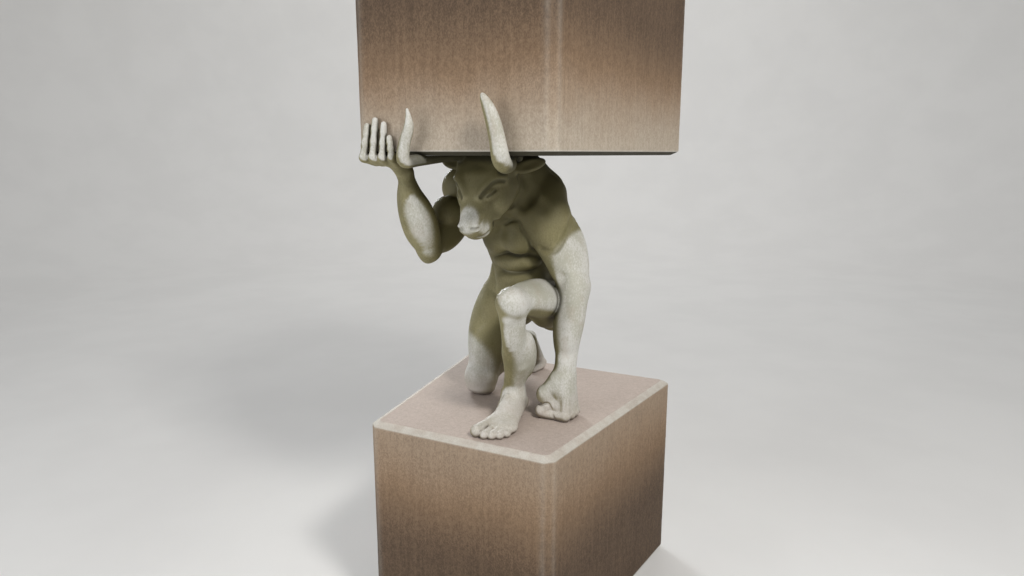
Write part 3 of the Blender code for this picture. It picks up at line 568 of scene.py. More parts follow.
def model_head(clay):
    """Thick neck, bull's skull, brows, closed eyes, cheeks, muzzle and ears."""
    down = unit(vector(*FACE_DOWN))
    side, _, _ = axes_along(down, (1, 0, 0))
    out = np.cross(down, side)

    def spot(across, forward, below):
        return vector(*FACE) + side * across + out * forward + down * below

    clay.add(limb((0, -0.050, 0.890), (0.008, -0.225, 0.905), 0.112, 0.080), 0.04)
    head = clay.fresh()
    head.add(wedge(spot(0, -0.090, -0.260), spot(0, -0.088, -0.045), (0.112, 0.082), (0.096, 0.070),
                   0.036, side))
    head.add(wedge(spot(0, -0.088, -0.080), spot(0, -0.068, 0.118), (0.094, 0.066), (0.036, 0.040),
                   0.034, side), 0.03)
    # Bridge of the nose and the muzzle
    head.add(limb(spot(0, -0.050, -0.060), spot(0, -0.044, 0.095), 0.037, 0.030, side, 1.05), 0.03)
    head.add(egg(spot(0, -0.056, 0.112), (0.044, 0.040, 0.038), down, side), 0.014)
    head.add(egg(spot(0, -0.090, 0.118), (0.036, 0.026, 0.028), down, side), 0.012)
    for sign in (-1, 1):
        # Jaw bar, cheek, and brow over the eyeball
        head.add(limb(spot(sign * 0.072, -0.146, -0.085), spot(sign * 0.028, -0.094, 0.105),
                      0.037, 0.026), 0.020)
        head.add(egg(spot(sign * 0.066, -0.105, -0.040), (0.038, 0.056, 0.068), down, side), 0.020)
        head.add(rope([spot(sign * 0.030, -0.022, 0.012), spot(sign * 0.052, -0.024, -0.032),
                       spot(sign * 0.074, -0.034, -0.060), spot(sign * 0.092, -0.054, -0.072)],
                      [0.011, 0.014, 0.015, 0.012], 14), 0.022)
        head.carve(egg(spot(sign * 0.084, -0.034, 0.006), (0.018, 0.022, 0.026), down, side), 0.022)
        lid = side * (sign * 0.0145) - out * 0.0153 - down * 0.0300
        head.add(egg(spot(sign * 0.0610, -0.0440, -0.0090), (0.017, 0.017, 0.033), lid, side), 0.008)
        # Nostril wing
        head.add(egg(spot(sign * 0.027, -0.038, 0.122), (0.017, 0.014, 0.016), down, side), 0.008)
    clay.join(head, 0.008)
    for sign in (-1, 1):
        gaze = side * (sign * -0.455) - out * 0.80 - down * 0.39
        clay.etch([spot(sign * 0.0392, -0.0152, 0.0177), spot(sign * 0.0536, -0.0211, -0.0109),
                   spot(sign * 0.0701, -0.0293, -0.0394), spot(sign * 0.0839, -0.0431, -0.0552),
                   spot(sign * 0.0953, -0.0613, -0.0632)], gaze, 0.0072, 0.006, 1.0)
        clay.etch([spot(sign * 0.0560, -0.0320, 0.0100), spot(sign * 0.0650, -0.0410, -0.0080),
                   spot(sign * 0.0740, -0.0500, -0.0250)], gaze, 0.0044, 0.003)
        clay.etch([spot(sign * 0.0180, -0.0340, 0.1310), spot(sign * 0.0276, -0.0365, 0.1320),
                   spot(sign * 0.0370, -0.0460, 0.1240)], gaze, 0.0074, 0.005)
        # Corner of the mouth, under the muzzle
        clay.etch([spot(sign * 0.012, -0.070, 0.150), spot(sign * 0.034, -0.084, 0.140),
                   spot(sign * 0.050, -0.098, 0.110)], gaze + down * -0.5, 0.0040, 0.006)
    # Groove between the cheek and the neck
    clay.etch([(0.118, -0.200, 0.935), (0.126, -0.210, 0.895), (0.122, -0.215, 0.860),
               (0.104, -0.230, 0.830), (0.070, -0.250, 0.795), (0.040, -0.270, 0.760)],
              VIEW, 0.011, 0.008, 0.5)
    clay.etch([(0.135, -0.175, 0.915), (0.142, -0.180, 0.870), (0.124, -0.200, 0.825)],
              VIEW, 0.012, 0.040, 0.3)
    model_ear(clay, (0.084, -0.240, 0.944), (0.196, -0.178, 0.980))
    model_ear(clay, (-0.085, -0.262, 0.962), (-0.190, -0.250, 0.984))
    for horn in (HORN_LEFT, HORN_RIGHT):
        rows = np.array(horn)
        clay.add(rope(rows[:, :3], rows[:, 3], 30), 0.008)
        # Painted shade on the part that runs under the load
        under = np.vstack([rows[:3, :3], rows[2:4, :3].mean(axis=0)])
        clay.lines.append((smooth_curve(under, 30), 0.019, 2.0))


def model_ear(clay, root, tip):
    """Leaf on a short stem, hollow towards the front."""
    root, tip = vector(*root), vector(*tip)
    along = tip - root
    length = np.linalg.norm(along)
    facing = vector(0.25, -0.90, 0.20)
    middle = root + along * 0.56
    clay.add(limb(root, root + along * 0.35, 0.016, 0.012), 0.012)
    clay.add(egg(middle, (0.012, 0.025, length * 0.47), along, facing), 0.008)
    clay.carve(egg(middle + unit(facing) * 0.015, (0.008, 0.014, length * 0.34), along, facing), 0.010)


# Cut of a cell into six tetrahedra: the order of the axes walked from the
# cell's low corner to its high one, and the turning sense of that path
CELL_PATHS = [((0, 1, 2), 1), ((1, 2, 0), 1), ((2, 0, 1), 1),
              ((0, 2, 1), -1), ((2, 1, 0), -1), ((1, 0, 2), -1)]
# Edges cut by the surface for each set of inside corners, as bits
EDGES_CUT = {1: ((0, 1), (0, 2), (0, 3)), 2: ((0, 1), (1, 3), (1, 2)),
             4: ((0, 2), (1, 2), (2, 3)), 8: ((0, 3), (2, 3), (1, 3)),
             3: ((0, 2), (0, 3), (1, 3), (1, 2)), 5: ((0, 3), (0, 1), (1, 2), (2, 3)),
             9: ((0, 1), (0, 2), (2, 3), (1, 3))}
ALL_CORNERS = 15


def surface(clay):
    """Zero surface of the field, by marching over the tetrahedra of each cell.

    Every crossed grid edge gives one vertex, placed by linear interpolation,
    and each tetrahedron gives one or two triangles that face outwards.
    """
    field = clay.field
    shape = np.array(field.shape)
    stride = np.array([shape[1] * shape[2], shape[2], 1])
    inside = (field < 0).astype(np.int8)
    total = sum(inside[i:shape[0] - 1 + i, j:shape[1] - 1 + j, k:shape[2] - 1 + k]
                for i in (0, 1) for j in (0, 1) for k in (0, 1))
    cells = np.argwhere((total > 0) & (total < 8)) @ stride
    flat = field.ravel()
    triangles = []
    for path, turn in CELL_PATHS:
        steps = np.cumsum([0] + [stride[axis] for axis in path])
        corner = [cells + step for step in steps]
        mask = sum((flat[c] < 0).astype(int) << bit for bit, c in enumerate(corner))
        for bits, edges in EDGES_CUT.items():
            for case, flip in ((bits, turn < 0), (ALL_CORNERS - bits, turn > 0)):
                chosen = mask == case
                keys = [np.stack([corner[a][chosen], corner[b][chosen]], 1) for a, b in edges]
                for last in range(2, len(keys)):
                    fan = [keys[0], keys[last - 1], keys[last]]
                    triangles.append(np.stack(fan[::-1] if flip else fan, 1))
    ends = np.concatenate(triangles).reshape(-1, 2)
    edge, corner_of = np.unique(ends[:, 0] * field.size + ends[:, 1], return_inverse=True)
    a = edge // field.size
    b = edge % field.size
    share = np.clip(flat[a] / (flat[a] - flat[b]), 0.03, 0.97)[:, None]
    start = np.stack(np.unravel_index(a, field.shape), 1)
    end = np.stack(np.unravel_index(b, field.shape), 1)
    points = clay.low + clay.cell * (start + (end - start) * share)
    return points, corner_of.reshape(-1, 3)


def cad_rings(node):
    """The CAD block's four rings of eight corners, lowest first, each turning the same way."""
    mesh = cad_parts[node].data
    points = np.empty(len(mesh.vertices) * 3, np.float32)
    mesh.vertices.foreach_get("co", points)
    points = np.unique(np.round(points.reshape(-1, 3), 5), axis=0).astype(float)
    rings = []
    for level in np.unique(points[:, 2]):
        ring = points[points[:, 2] == level]
        turn = np.arctan2(ring[:, 1], ring[:, 0])
        rings.append(ring[np.argsort(turn)])
    return np.array(rings)


def load_distance(y, z):
    """Distance to the load's underside, front face and the chamfer between, negative inside it.

    It is the largest of the signed distances to the three planes.
    """
    rings = cad_rings("upper_block") / CLEAR
    flat = rings[0][:, 1].min() - rings[1][:, 1].min()
    drop = rings[1][0, 2] - rings[0][0, 2]
    slope = np.hypot(flat, drop)
    front = FRONT / CLEAR
    chamfer = ((front + flat - y) * drop + (1.0 - z) * flat) / slope
    return np.maximum(np.maximum(1.0 - z, front - y), chamfer)


def new_mesh(name, points, faces):
    """Mesh from whole arrays of points and of faces with three or four corners."""
    mesh = bpy.data.meshes.new(name)
    size = faces.shape[1]
    mesh.vertices.add(len(points))
    mesh.vertices.foreach_set("co", np.asarray(points, np.float32).ravel())
    mesh.loops.add(faces.size)
    mesh.loops.foreach_set("vertex_index", faces.astype(np.int32).ravel())
    mesh.polygons.add(len(faces))
    mesh.polygons.foreach_set("loop_start", np.arange(0, faces.size, size, dtype=np.int32))
    mesh.update(calc_edges=True)
    mesh.shade_smooth()
    return mesh


def new_piece(name, mesh, material, node):
    """Object at the origin that rides on the body and stands for its CAD node."""
    piece = bpy.data.objects.new(name, mesh)
    mesh.materials.append(material)
    bpy.context.scene.collection.objects.link(piece)
    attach(piece, "root")
    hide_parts(node)
    return piece


def paint(mesh, name, values):
    """One number a vertex, which a material reads by its name."""
    layer = mesh.attributes.new(name, 'FLOAT', 'POINT')
    layer.data.foreach_set("value", np.asarray(values, np.float32))


def vertices_of(mesh, what):
    values = np.empty(len(mesh.vertices) * 3, np.float32)
    mesh.vertices.foreach_get(what, values)
    return values.reshape(-1, 3).astype(float)


def thinned(points, triangles, count):
    """The same surface with fewer triangles, most of them kept where it bends."""
    rough = bpy.data.objects.new("rough figure", new_mesh("rough figure", points, triangles))
    bpy.context.scene.collection.objects.link(rough)
    thin = rough.modifiers.new("Thin out", 'DECIMATE')
    thin.ratio = count / len(triangles)
    graph = bpy.context.evaluated_depsgraph_get()
    mesh = bpy.data.meshes.new_from_object(rough.evaluated_get(graph))
    bpy.data.objects.remove(rough, do_unlink=True)
    return mesh


def sculpt(cell):
    """The whole figure in clay, cut by the plinth below and the load above."""
    clay = Clay(FIELD_LOW, FIELD_HIGH, cell)
    for model in (model_torso, model_left_arm, model_left_fist, model_right_arm, model_right_hand,
                  model_left_leg, model_right_leg, model_head):
        model(clay)
    x, y, z = np.meshgrid(*clay.rulers, indexing='ij', sparse=True)
    gap = CONTACT_GAP / CLEAR
    cut = np.maximum(gap - z, gap - load_distance(y, z)).astype(np.float32)
    np.maximum(clay.field, cut, out=clay.field)
    return clay


def kept_clear(points):
    """Points moved out of the plinth and the load, each along the shortest way."""
    gap = CONTACT_GAP / CLEAR
    x, y, z = points.T
    front = FRONT / CLEAR - gap
    deep = gap - load_distance(y, z)
    forward = (deep > 0) & (y - front < z - 1.0)
    downward = (deep > 0) & ~forward
    y = np.where(forward, np.minimum(y, front), y)
    z = np.where(downward, z - deep, z)
    return np.stack([x, y, np.maximum(z, gap)], 1)


# Looks along the normal, in shares of the clear height: reach, and share of how hollow a point is
HOLLOW_LOOKS = ((0.006, 0.35), (0.018, 0.35), (0.05, 0.30))
# Depth below the skin at which a ridge is told from flat stone
RIDGE_DEPTH = 0.010
# Walks towards the sky: lift off the skin, length before the first step, shortest and longest step
WALK_LIFT = 0.007
WALK_START = 0.004
WALK_STEPS = (0.008, 0.090)
# Half the width of the cone of directions along which the painted light is read
LIGHT_SPREAD = 0.05


def openness(clay, points, normals, reach):
    """How free the air is in front of each point: the distance to the nearest stone
    at a step of reach along the normal, as a share of that step."""
    ahead = points + normals * reach
    free = np.minimum(clay.read(ahead), ahead[:, 2])
    free = np.minimum(free, np.maximum(load_distance(ahead[:, 1], ahead[:, 2]), 0))
    return np.clip(free / reach, 0, 1)


def sky_directions(count):
    """Directions spread evenly over the sky: equal steps of height, golden-angle turns."""
    step = np.arange(count) + 0.5
    height = 1 - step / count
    turn = np.pi * (1 + 5 ** 0.5) * step
    flat = np.sqrt(1 - height ** 2)
    return np.stack([flat * np.cos(turn), flat * np.sin(turn), height], 1)


def light_directions():
    """Four directions round the one that the key light comes from, along which the painted light is read.
    """
    u, v, w = axes_along(OPEN_SIDE, (1, 0, 0))
    return np.array([unit(w + LIGHT_SPREAD * (a * u + b * v))
                     for a, b in ((1, 0), (-1, 0), (0, 1), (0, -1))])


def open_sky(clay, points, normals, directions, steps, sharp):
    """How much of the directions in front of each point is free of stone, and how
    squarely the point faces them.

    From each point a walk follows each direction. It is blocked as far as the
    nearest stone comes close to it, measured against the length walked and times
    sharp. Every direction counts by its cosine with the normal.
    """
    half_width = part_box("upper_block")[1].x / CLEAR
    total = np.zeros(len(points))
    weights = np.full(len(points), 1e-9)
    for direction in directions:
        facing = normals @ direction
        chosen = np.flatnonzero(facing > 0.02)
        start = points[chosen] + normals[chosen] * WALK_LIFT
        length = np.full(len(chosen), WALK_START)
        free = np.ones(len(chosen))
        for _ in range(steps):
            place = start + direction * length[:, None]
            near = np.minimum(clay.read(place), place[:, 2] + 0.004)
            load = np.maximum(load_distance(place[:, 1], place[:, 2]), np.abs(place[:, 0]) - half_width)
            near = np.minimum(near, load + 0.002)
            free = np.minimum(free, np.clip(sharp * near / length, 0, 1))
            length += np.clip(near, *WALK_STEPS)
        total[chosen] += facing[chosen] * free
        weights[chosen] += facing[chosen]
    return total / weights, weights / len(directions)


def line_shade(lines, points):
    """How much painted shade of the etched lines lies on each point: the line's own share times a
    bell curve of the distance to it."""
    total = np.zeros(len(points))
    for line, radius, painted_shade in lines:
        reach = 1.2 * radius + 0.001
        room = 3 * reach
        close = np.flatnonzero(np.all((points > line.min(axis=0) - room)
                                      & (points < line.max(axis=0) + room), axis=1))
        away = points[close, None] - line[None]
        nearest = np.min(np.sum(away * away, axis=2), axis=1)
        total[close] = np.maximum(total[close], painted_shade * np.exp(-nearest / reach ** 2))
    return total


def carved_figure(cell, count):
    """Mesh of the figure in the frame's metres. Each vertex holds how hollow, how much of a
    ridge and how much sky it sees, for painted shade, and how freely light from the open side reaches it,
    for painted light."""
    clay = sculpt(cell)
    points, triangles = surface(clay)
    mesh = thinned(points, triangles, count)
    mesh.name = "carved_figure"
    points = kept_clear(vertices_of(mesh, "co"))
    normals = vertices_of(mesh, "normal")
    hollow = 1 - sum(openness(clay, points, normals, reach) * share for reach, share in HOLLOW_LOOKS)
    inward = clay.read(points - normals * RIDGE_DEPTH)
    ridge = np.clip(1 + inward / RIDGE_DEPTH, 0, 1)
    # Hollows and etched lines, darkened later with painted shade
    paint(mesh, "hollow", np.maximum(hollow, line_shade(clay.lines, points)))
    paint(mesh, "ridge", ridge)
    # Painted shade: how little of the sky each point sees
    free, _ = open_sky(clay, points, normals, sky_directions(22), steps=16, sharp=5)
    # Painted light: how freely light from the open side reaches each point, and how squarely the point
    # faces it
    light_free, square = open_sky(clay, points, normals, light_directions(), steps=36, sharp=11)
    paint(mesh, "sky_shade", 1 - free)
    painted_light = light_free * square
    # Pools of painted light on the fronts of the listed places
    front = np.clip(0.3 - 2 * normals[:, 1], 0, 1)
    for x, y, z, radius in PAINTED_LIGHT_SPOTS:
        away = np.linalg.norm(points - vector(x, y, z), axis=1) / radius
        painted_light = np.maximum(painted_light, PAINTED_LIGHT_SPOT_SHARE * front * np.exp(-away ** 6))
    paint(mesh, "painted_light", painted_light)
    places = points * CLEAR + (0, 0, GROUND)
    mesh.vertices.foreach_set("co", places.astype(np.float32).ravel())
    mesh.shade_smooth()
    mesh.update()
    return mesh


# Corners along each side of the noise lattice, which repeats after them
LATTICE = 32
# A block's grid: the even step, and the strip at both ends of a face with finer steps
BLOCK_STEP = 0.012
FINE_STRIP = 0.014
# How far from an arris the wear fades, and the depth of the faces' slow wave
ARRIS_WIDTH = 0.0045
WAVE_DEPTH = 0.00025


def drift(points, size, seed):
    """Smooth noise from -1 to 1: random values on a lattice of the given size, blended
    between its corners with an eased weight."""
    values = np.random.default_rng(seed).uniform(-1, 1, (LATTICE, LATTICE, LATTICE))
    place = points / size
    i = np.floor(place).astype(int)
    t = place - i
    t = t * t * (3 - 2 * t)
    total = np.zeros(points.shape[:-1])
    for corner in np.ndindex(2, 2, 2):
        weight = np.prod(np.where(corner, t, 1 - t), axis=-1)
        j = (i + corner) % LATTICE
        total += weight * values[j[..., 0], j[..., 1], j[..., 2]]
    return total


def steps_along(length):
    """Shares from 0 up to 1: even steps, with finer ones close to both ends."""
    near = np.array([0.0, 0.12, 0.28, 0.5, 0.75]) * FINE_STRIP
    if length <= 2 * FINE_STRIP:
        return np.linspace(0, 1, 5)[:-1]
    count = max(int((length - 2 * FINE_STRIP) / BLOCK_STEP), 1)
    even = np.linspace(FINE_STRIP, length - FINE_STRIP, count + 1)
    return np.concatenate([near, even, length - near[:0:-1]]) / length


def block_rows(rings):
    """Rows of eight corners, from the middle of the underside over the chamfers and sides to
    the middle of the top. With them go three numbers a row: its distance to the nearest level
    arris, 1 if it lies on the sides or chamfers, and 1 if it lies on a chamfer."""
    middle = rings.mean(axis=(0, 1))
    centres = [np.tile([middle[0], middle[1], ring[0, 2]], (8, 1)) for ring in (rings[0], rings[-1])]
    stations = np.array([centres[0], *rings, centres[1]])
    last = len(stations) - 2
    rows, edge, side, chamfer = [], [], [], []
    for number, (a, b) in enumerate(zip(stations[:-1], stations[1:])):
        length = np.linalg.norm(b[0] - a[0])
        share = steps_along(length)
        rows.append(a + (b - a) * share[:, None, None])
        far = np.full(len(share), 1.0)
        to_start = share * length if number > 0 else far
        to_end = (1 - share) * length if number < last else far
        edge.append(np.minimum(to_start, to_end))
        side.append(np.full(len(share), 1.0 if 0 < number < last else 0.0))
        chamfer.append(np.full(len(share), 1.0 if number in (1, 3) else 0.0))
    return (np.concatenate(rows + [stations[-1:]]), np.concatenate(edge + [[1.0]]),
            np.concatenate(side + [[0.0]]), np.concatenate(chamfer + [[0.0]]))


def block_columns(rows, ring):
    """Grid of points, with every row cut into the steps of the ring's eight sides, and each
    column's distance to the nearest upright arris."""
    columns, edge = [], []
    for corner in range(8):
        following = (corner + 1) % 8
        a, b = rows[:, corner], rows[:, following]
        length = np.linalg.norm(ring[following] - ring[corner])
        share = steps_along(length)
        columns.append(a[:, None] + (b - a)[:, None] * share[None, :, None])
        edge.append(np.minimum(share, 1 - share) * length)
    return np.concatenate(columns, axis=1), np.concatenate(edge)


def grid_normals(points):
    """Outward directions: the way round the block crossed with the way up it."""
    around = np.roll(points, -1, axis=1) - np.roll(points, 1, axis=1)
    normal = np.cross(around, np.gradient(points, axis=0))
    normal /= np.linalg.norm(normal, axis=2, keepdims=True) + 1e-12
    normal[0], normal[-1] = (0, 0, -1), (0, 0, 1)
    return normal


def closed_triangles(shape):
    """Triangles of a grid closed round and at both ends: two a cell, and a fan from one point
    of the first and of the last row to the row beside it."""
    index = np.arange(shape[0] * shape[1]).reshape(shape)
    a, b = index[1:-2], index[2:-1]
    quads = np.stack([a, np.roll(a, -1, 1), np.roll(b, -1, 1), b], -1).reshape(-1, 4)
    low, high = index[1], index[-2]
    fans = np.concatenate([np.stack([np.roll(low, -1), low, np.full(shape[1], index[0, 0])], -1),
                           np.stack([high, np.roll(high, -1), np.full(shape[1], index[-1, 0])], -1)])
    return np.concatenate([quads[:, [0, 1, 2]], quads[:, [0, 2, 3]], fans])


def worn_block(node, wear, seed):
    """Block as one closed surface: rows run from the middle of its underside over the
    chamfers and sides to the middle of its top, columns run round its plan.

    Every point is then moved inwards. Near an arris it moves by the wear times a bell
    curve of its distance to that arris, elsewhere by a slow shallow wave. How worn a
    point looks is 1 on a chamfer, and a bell curve of the distance to an arris beside it.
    """
    rings = cad_rings(node)
    rows, row_edge, row_side, row_chamfer = block_rows(rings)
    points, column_edge = block_columns(rows, rings[1])
    normal = grid_normals(points)
    on_side = row_side[:, None]
    bell = (np.exp(-(row_edge[:, None] / ARRIS_WIDTH) ** 2)
            + np.exp(-(column_edge[None] / ARRIS_WIDTH) ** 2) * on_side)
    ragged = 0.65 + 0.35 * drift(points, 0.030, seed) + 0.25 * drift(points, 0.009, seed + 1)
    deep = wear * np.clip(bell, 0, 1.3) * np.clip(ragged, 0.1, 1.4)
    wave = WAVE_DEPTH * (1 + drift(points, 0.11, seed + 2))
    deep += wave * np.clip(row_edge[:, None] / 0.05, 0, 1)
    points = points - normal * deep[:, :, None]
    worn = (np.maximum(row_chamfer, np.exp(-(row_edge / 0.0035) ** 2))[:, None]
            + 0.15 * np.exp(-(column_edge[None] / 0.012) ** 2) * on_side)
    worn = np.clip(worn * (0.85 + 0.25 * drift(points, 0.02, seed + 3)), 0, 1)
    used, faces = np.unique(closed_triangles(points.shape[:2]), return_inverse=True)
    mesh = new_mesh(node + "_stone", points.reshape(-1, 3)[used], faces.reshape(-1, 3))
    paint(mesh, "worn", worn.ravel()[used])
    return mesh


class Value:
    """A number in a material. Sums and products with it add Math nodes."""

    def __init__(self, shading, socket):
        self.shading = shading
        self.socket = socket

    def maths(self, operation, *numbers):
        node = self.shading.node('ShaderNodeMath', {"operation": operation}, dict(enumerate(numbers)))
        return Value(self.shading, node.outputs[0])

    def __add__(self, other):
        return self.maths('ADD', self, other)

    def __sub__(self, other):
        return self.maths('SUBTRACT', self, other)

    def __rsub__(self, other):
        return self.maths('SUBTRACT', other, self)

    def __mul__(self, other):
        return self.maths('MULTIPLY', self, other)

    __radd__ = __add__
    __rmul__ = __mul__

    def between(self, low, high):
        """0 below low, 1 above high, and eased between them."""
        node = self.shading.node('ShaderNodeMapRange', {"interpolation_type": 'SMOOTHSTEP'},
                                 {"Value": self, "From Min": low, "From Max": high})
        return Value(self.shading, node.outputs[0])


def rgba(colour):
    """Four numbers for a colour of three. A socket stays as it is."""
    return colour if isinstance(colour, bpy.types.NodeSocket) else (*colour, 1.0)


class Shading:
    """A material and the one way to add nodes to it."""

    def __init__(self, name, roughness):
        self.material = bpy.data.materials.new(name)
        self.material.use_nodes = True
        self.tree = self.material.node_tree
        self.shader = self.tree.nodes["Principled BSDF"]
        self.shader.inputs["Roughness"].default_value = roughness
        self.place = self.node('ShaderNodeTexCoord').outputs["Object"]

    def node(self, kind, settings=None, inputs=None):
        node = self.tree.nodes.new(kind)
        for name, value in (settings or {}).items():
            setattr(node, name, value)
        for name, value in (inputs or {}).items():
            self.feed(node.inputs[name], value)
        return node

    def feed(self, socket, value):
        if isinstance(value, Value):
            value = value.socket
        if isinstance(value, bpy.types.NodeSocket):
            self.tree.links.new(value, socket)
        else:
            socket.default_value = value

    def noise(self, scale, stretch=(1, 1, 1), detail=3.0, rough=0.55):
        """Noise from about 0.3 to 0.7, its pattern stretched where stretch is small."""
        place = self.node('ShaderNodeMapping', None, {"Vector": self.place, "Scale": stretch})
        node = self.node('ShaderNodeTexNoise', None,
                         {"Vector": place.outputs[0], "Scale": scale, "Detail": detail,
                          "Roughness": rough})
        return Value(self, node.outputs[0])

    def painted(self, name):
        node = self.node('ShaderNodeAttribute', {"attribute_name": name})
        return Value(self, node.outputs["Fac"])

    def height(self):
        node = self.node('ShaderNodeSeparateXYZ', None, {"Vector": self.place})
        return Value(self, node.outputs["Z"])

    def mix(self, share, first, second):
        """Colour that goes from first to second as share goes from 0 to 1."""
        node = self.node('ShaderNodeMix', {"data_type": 'RGBA'},
                         {0: share, 6: rgba(first), 7: rgba(second)})
        return node.outputs[2]

    def finish(self, colour, roughness, relief, depth):
        """Material with this colour and roughness, and with the relief raised by depth."""
        self.feed(self.shader.inputs["Base Color"], colour)
        self.feed(self.shader.inputs["Roughness"], roughness)
        bump = self.node('ShaderNodeBump', None, {"Height": relief, "Distance": depth, "Strength": 1.0})
        self.feed(self.shader.inputs["Normal"], bump.outputs[0])
        return self.material


def sandstone(settings, name, near_level, away, share):
    """Brown sandstone: fine upright mottling, paler towards the figure and on worn arrises.
    Its bands of tone by height are painted light and shade, partly also the stone's own tone.

    The near level is the height of the face that the figure touches, and away is
    +1 or -1 for a block above or below that face. Share weights the pale band that fades with distance
    from that face against the thin strip on the face itself; that paleness is painted light, partly also
    bleached stone.
    """
    s = Shading(name, 0.85)
    fleck = s.noise(230, (1, 1, 0.62), 3, 0.60)
    blotch = s.noise(70, (1, 1, 0.7), 3)
    cloud = s.noise(4.5, (1, 1, 0.8), 3)
    streak = s.noise(90, (1, 1, 0.04), 2)
    tone = fleck * 0.46 + blotch * 0.26 + cloud * 0.12 + streak * 0.16
    reach = (s.height() - near_level) * away + 0.16 * (cloud - 0.5)
    far = s.mix(tone.between(0.36, 0.64), settings.dark, settings.middle)
    brown = s.mix(tone.between(0.36, 0.64), settings.warm_dark, settings.warm)
    pale_and_lit = s.mix(tone.between(0.34, 0.66), settings.pale_and_lit_dark, settings.pale_and_lit)
    # Browner near the gap and darker away from it: painted shade, partly the stone's own tone
    colour = s.mix(reach.between(0.14, 0.52), brown, far)
    # Paler near the face that the figure touches: painted light, partly bleached stone
    touching = 1 - ((s.height() - near_level) * away).between(0.001, 0.016)
    bleach_and_light = (1 - reach.between(-0.02, 0.30)) * share + touching * (1 - share)
    colour = s.mix(bleach_and_light, colour, pale_and_lit)
    worn = s.painted("worn") * (0.50 + fleck * 0.6)
    colour = s.mix(worn, colour, settings.arris)
    if away < 0:
        dusty = s.mix(tone.between(0.34, 0.66), settings.top_dark, settings.top)
        colour = s.mix(touching * (1 - worn), colour, dusty)
    else:
        rings = cad_rings("upper_block")
        chamfer = rings[1][0, 2] - rings[0][0, 2]
        # Painted shade on the load's lower chamfer and underside
        under = 1 - (s.height() - near_level).between(0.85 * chamfer, 1.02 * chamfer)
        colour = s.mix(under * 0.98, colour, settings.painted_shade)
    roughness = 0.78 + 0.16 * fleck
    grain = s.noise(900, (1, 1, 0.7), 2)
    relief = fleck * 0.5 + grain * 0.2 + blotch * 0.25
    return s.finish(colour, roughness, relief, settings.grain_depth)


def carved_stone(settings):
    """Grey-green stone, with painted light where light from the open side reaches it and olive painted
    shade where little sky is seen.
    """
    s = Shading("grey-green carved stone", 0.60)
    cloud = s.noise(9, (1, 1, 0.8), 4)
    speck = s.noise(190, (1, 1, 0.7), 3, 0.6)
    streak = s.noise(130, (1, 1, 0.06), 2)
    rust = s.noise(14, (1, 1, 0.7), 4, 0.65)
    tone = cloud * 0.50 + speck * 0.38 + streak * 0.12
    # Painted light where light from the open side reaches, painted shade where little sky is seen
    painted_light = (s.painted("painted_light") + 0.10 * (cloud - 0.5)).between(0.03, 0.32)
    sky_shade = s.painted("sky_shade") + 0.15 * (cloud - 0.5) + 0.08 * (streak - 0.5)
    # The stone as it is, then a lit copy of it for the painted light
    plain = s.mix(tone.between(0.40, 0.60), settings.stone_dark, settings.stone)
    pale_and_lit = s.mix(tone.between(0.40, 0.60), settings.painted_light, settings.lit_and_rubbed)
    colour = s.mix(painted_light, plain, pale_and_lit)
    colour = s.mix(rust.between(0.52, 0.68) * 0.30 * (0.3 + 0.7 * painted_light), colour, settings.rust)
    # Worn ridges paler, and paler still as a painted highlight where the painted light falls
    ridge = s.painted("ridge").between(0.15, 0.80)
    colour = s.mix(ridge * (0.20 + 0.45 * painted_light), colour, settings.lit_and_rubbed)
    # Olive painted shade where little sky is seen, weaker where painted light falls
    sky_shade_share = sky_shade.between(0.15, 0.90) * (0.82 - 0.60 * painted_light)
    colour = s.mix(sky_shade_share, colour, settings.shade_olive)
    # Painted shade in the hollows and along the etched lines
    hollow = s.painted("hollow") + 0.25 * (speck - 0.5) + 0.2 * (cloud - 0.5)
    colour = s.mix(hollow.between(0.22, 0.80) * 0.80, colour, settings.painted_shade)
    dust = 1 - s.height().between(GROUND + 0.01 * CLEAR, GROUND + 0.15 * CLEAR)
    colour = s.mix(dust * (0.25 + 0.6 * (cloud - 0.3)), colour, settings.dust)
    roughness = 0.52 + 0.20 * tone + 0.12 * hollow
    grain = s.noise(750, (1, 1, 1), 2)
    relief = speck * 0.40 + grain * 0.25 + cloud * 0.8
    return s.finish(colour, roughness, relief, settings.skin_depth)


def colour_value(name, default, what):
    return FloatVectorProperty(name=name, description=what, default=default, subtype='COLOR',
                               min=0.0, max=1.0)


def fine_length(name, default, what):
    return FloatProperty(name=name, description=what, default=default, unit='LENGTH', precision=4)


def power_value(name, default, what):
    return FloatProperty(name=name, description=what, default=default, unit='POWER')


class FigureSettings(bpy.types.PropertyGroup):
    cell: fine_length("Cell", 0.0036, "Edge of a cell of clay")
    triangles: IntProperty(name="Triangles", description="Triangles of the carved figure",
                           default=194000, min=1000)
    # Stone outside the painted light
    stone: colour_value("Stone", (0.285, 0.255, 0.128), "Stone that rain doesn't reach")
    stone_dark: colour_value("Dark stone", (0.195, 0.173, 0.078), "Darker clouds in that stone")
    # Colours of the painted light on the stone; the pale one also paints worn ridges
    painted_light: colour_value("Painted light", (0.450, 0.440, 0.365), "Darker clouds in washed stone")
    lit_and_rubbed: colour_value("Lit and rubbed", (0.640, 0.630, 0.590), "Stone washed and rubbed pale")
    # Olive painted shade where little sky is seen, and dark painted shade in the hollows
    shade_olive: colour_value("Olive", (0.108, 0.092, 0.032), "Stain of sheltered stone")
    painted_shade: colour_value("Painted shade", (0.040, 0.036, 0.018), "Stain in the hollows")
    rust: colour_value("Rust", (0.400, 0.330, 0.250), "Warm clouds in the stone")
    dust: colour_value("Dust", (0.560, 0.480, 0.420), "Dust near the plinth")
    skin_depth: fine_length("Skin depth", 0.0012, "Depth of the stone's fine grain")


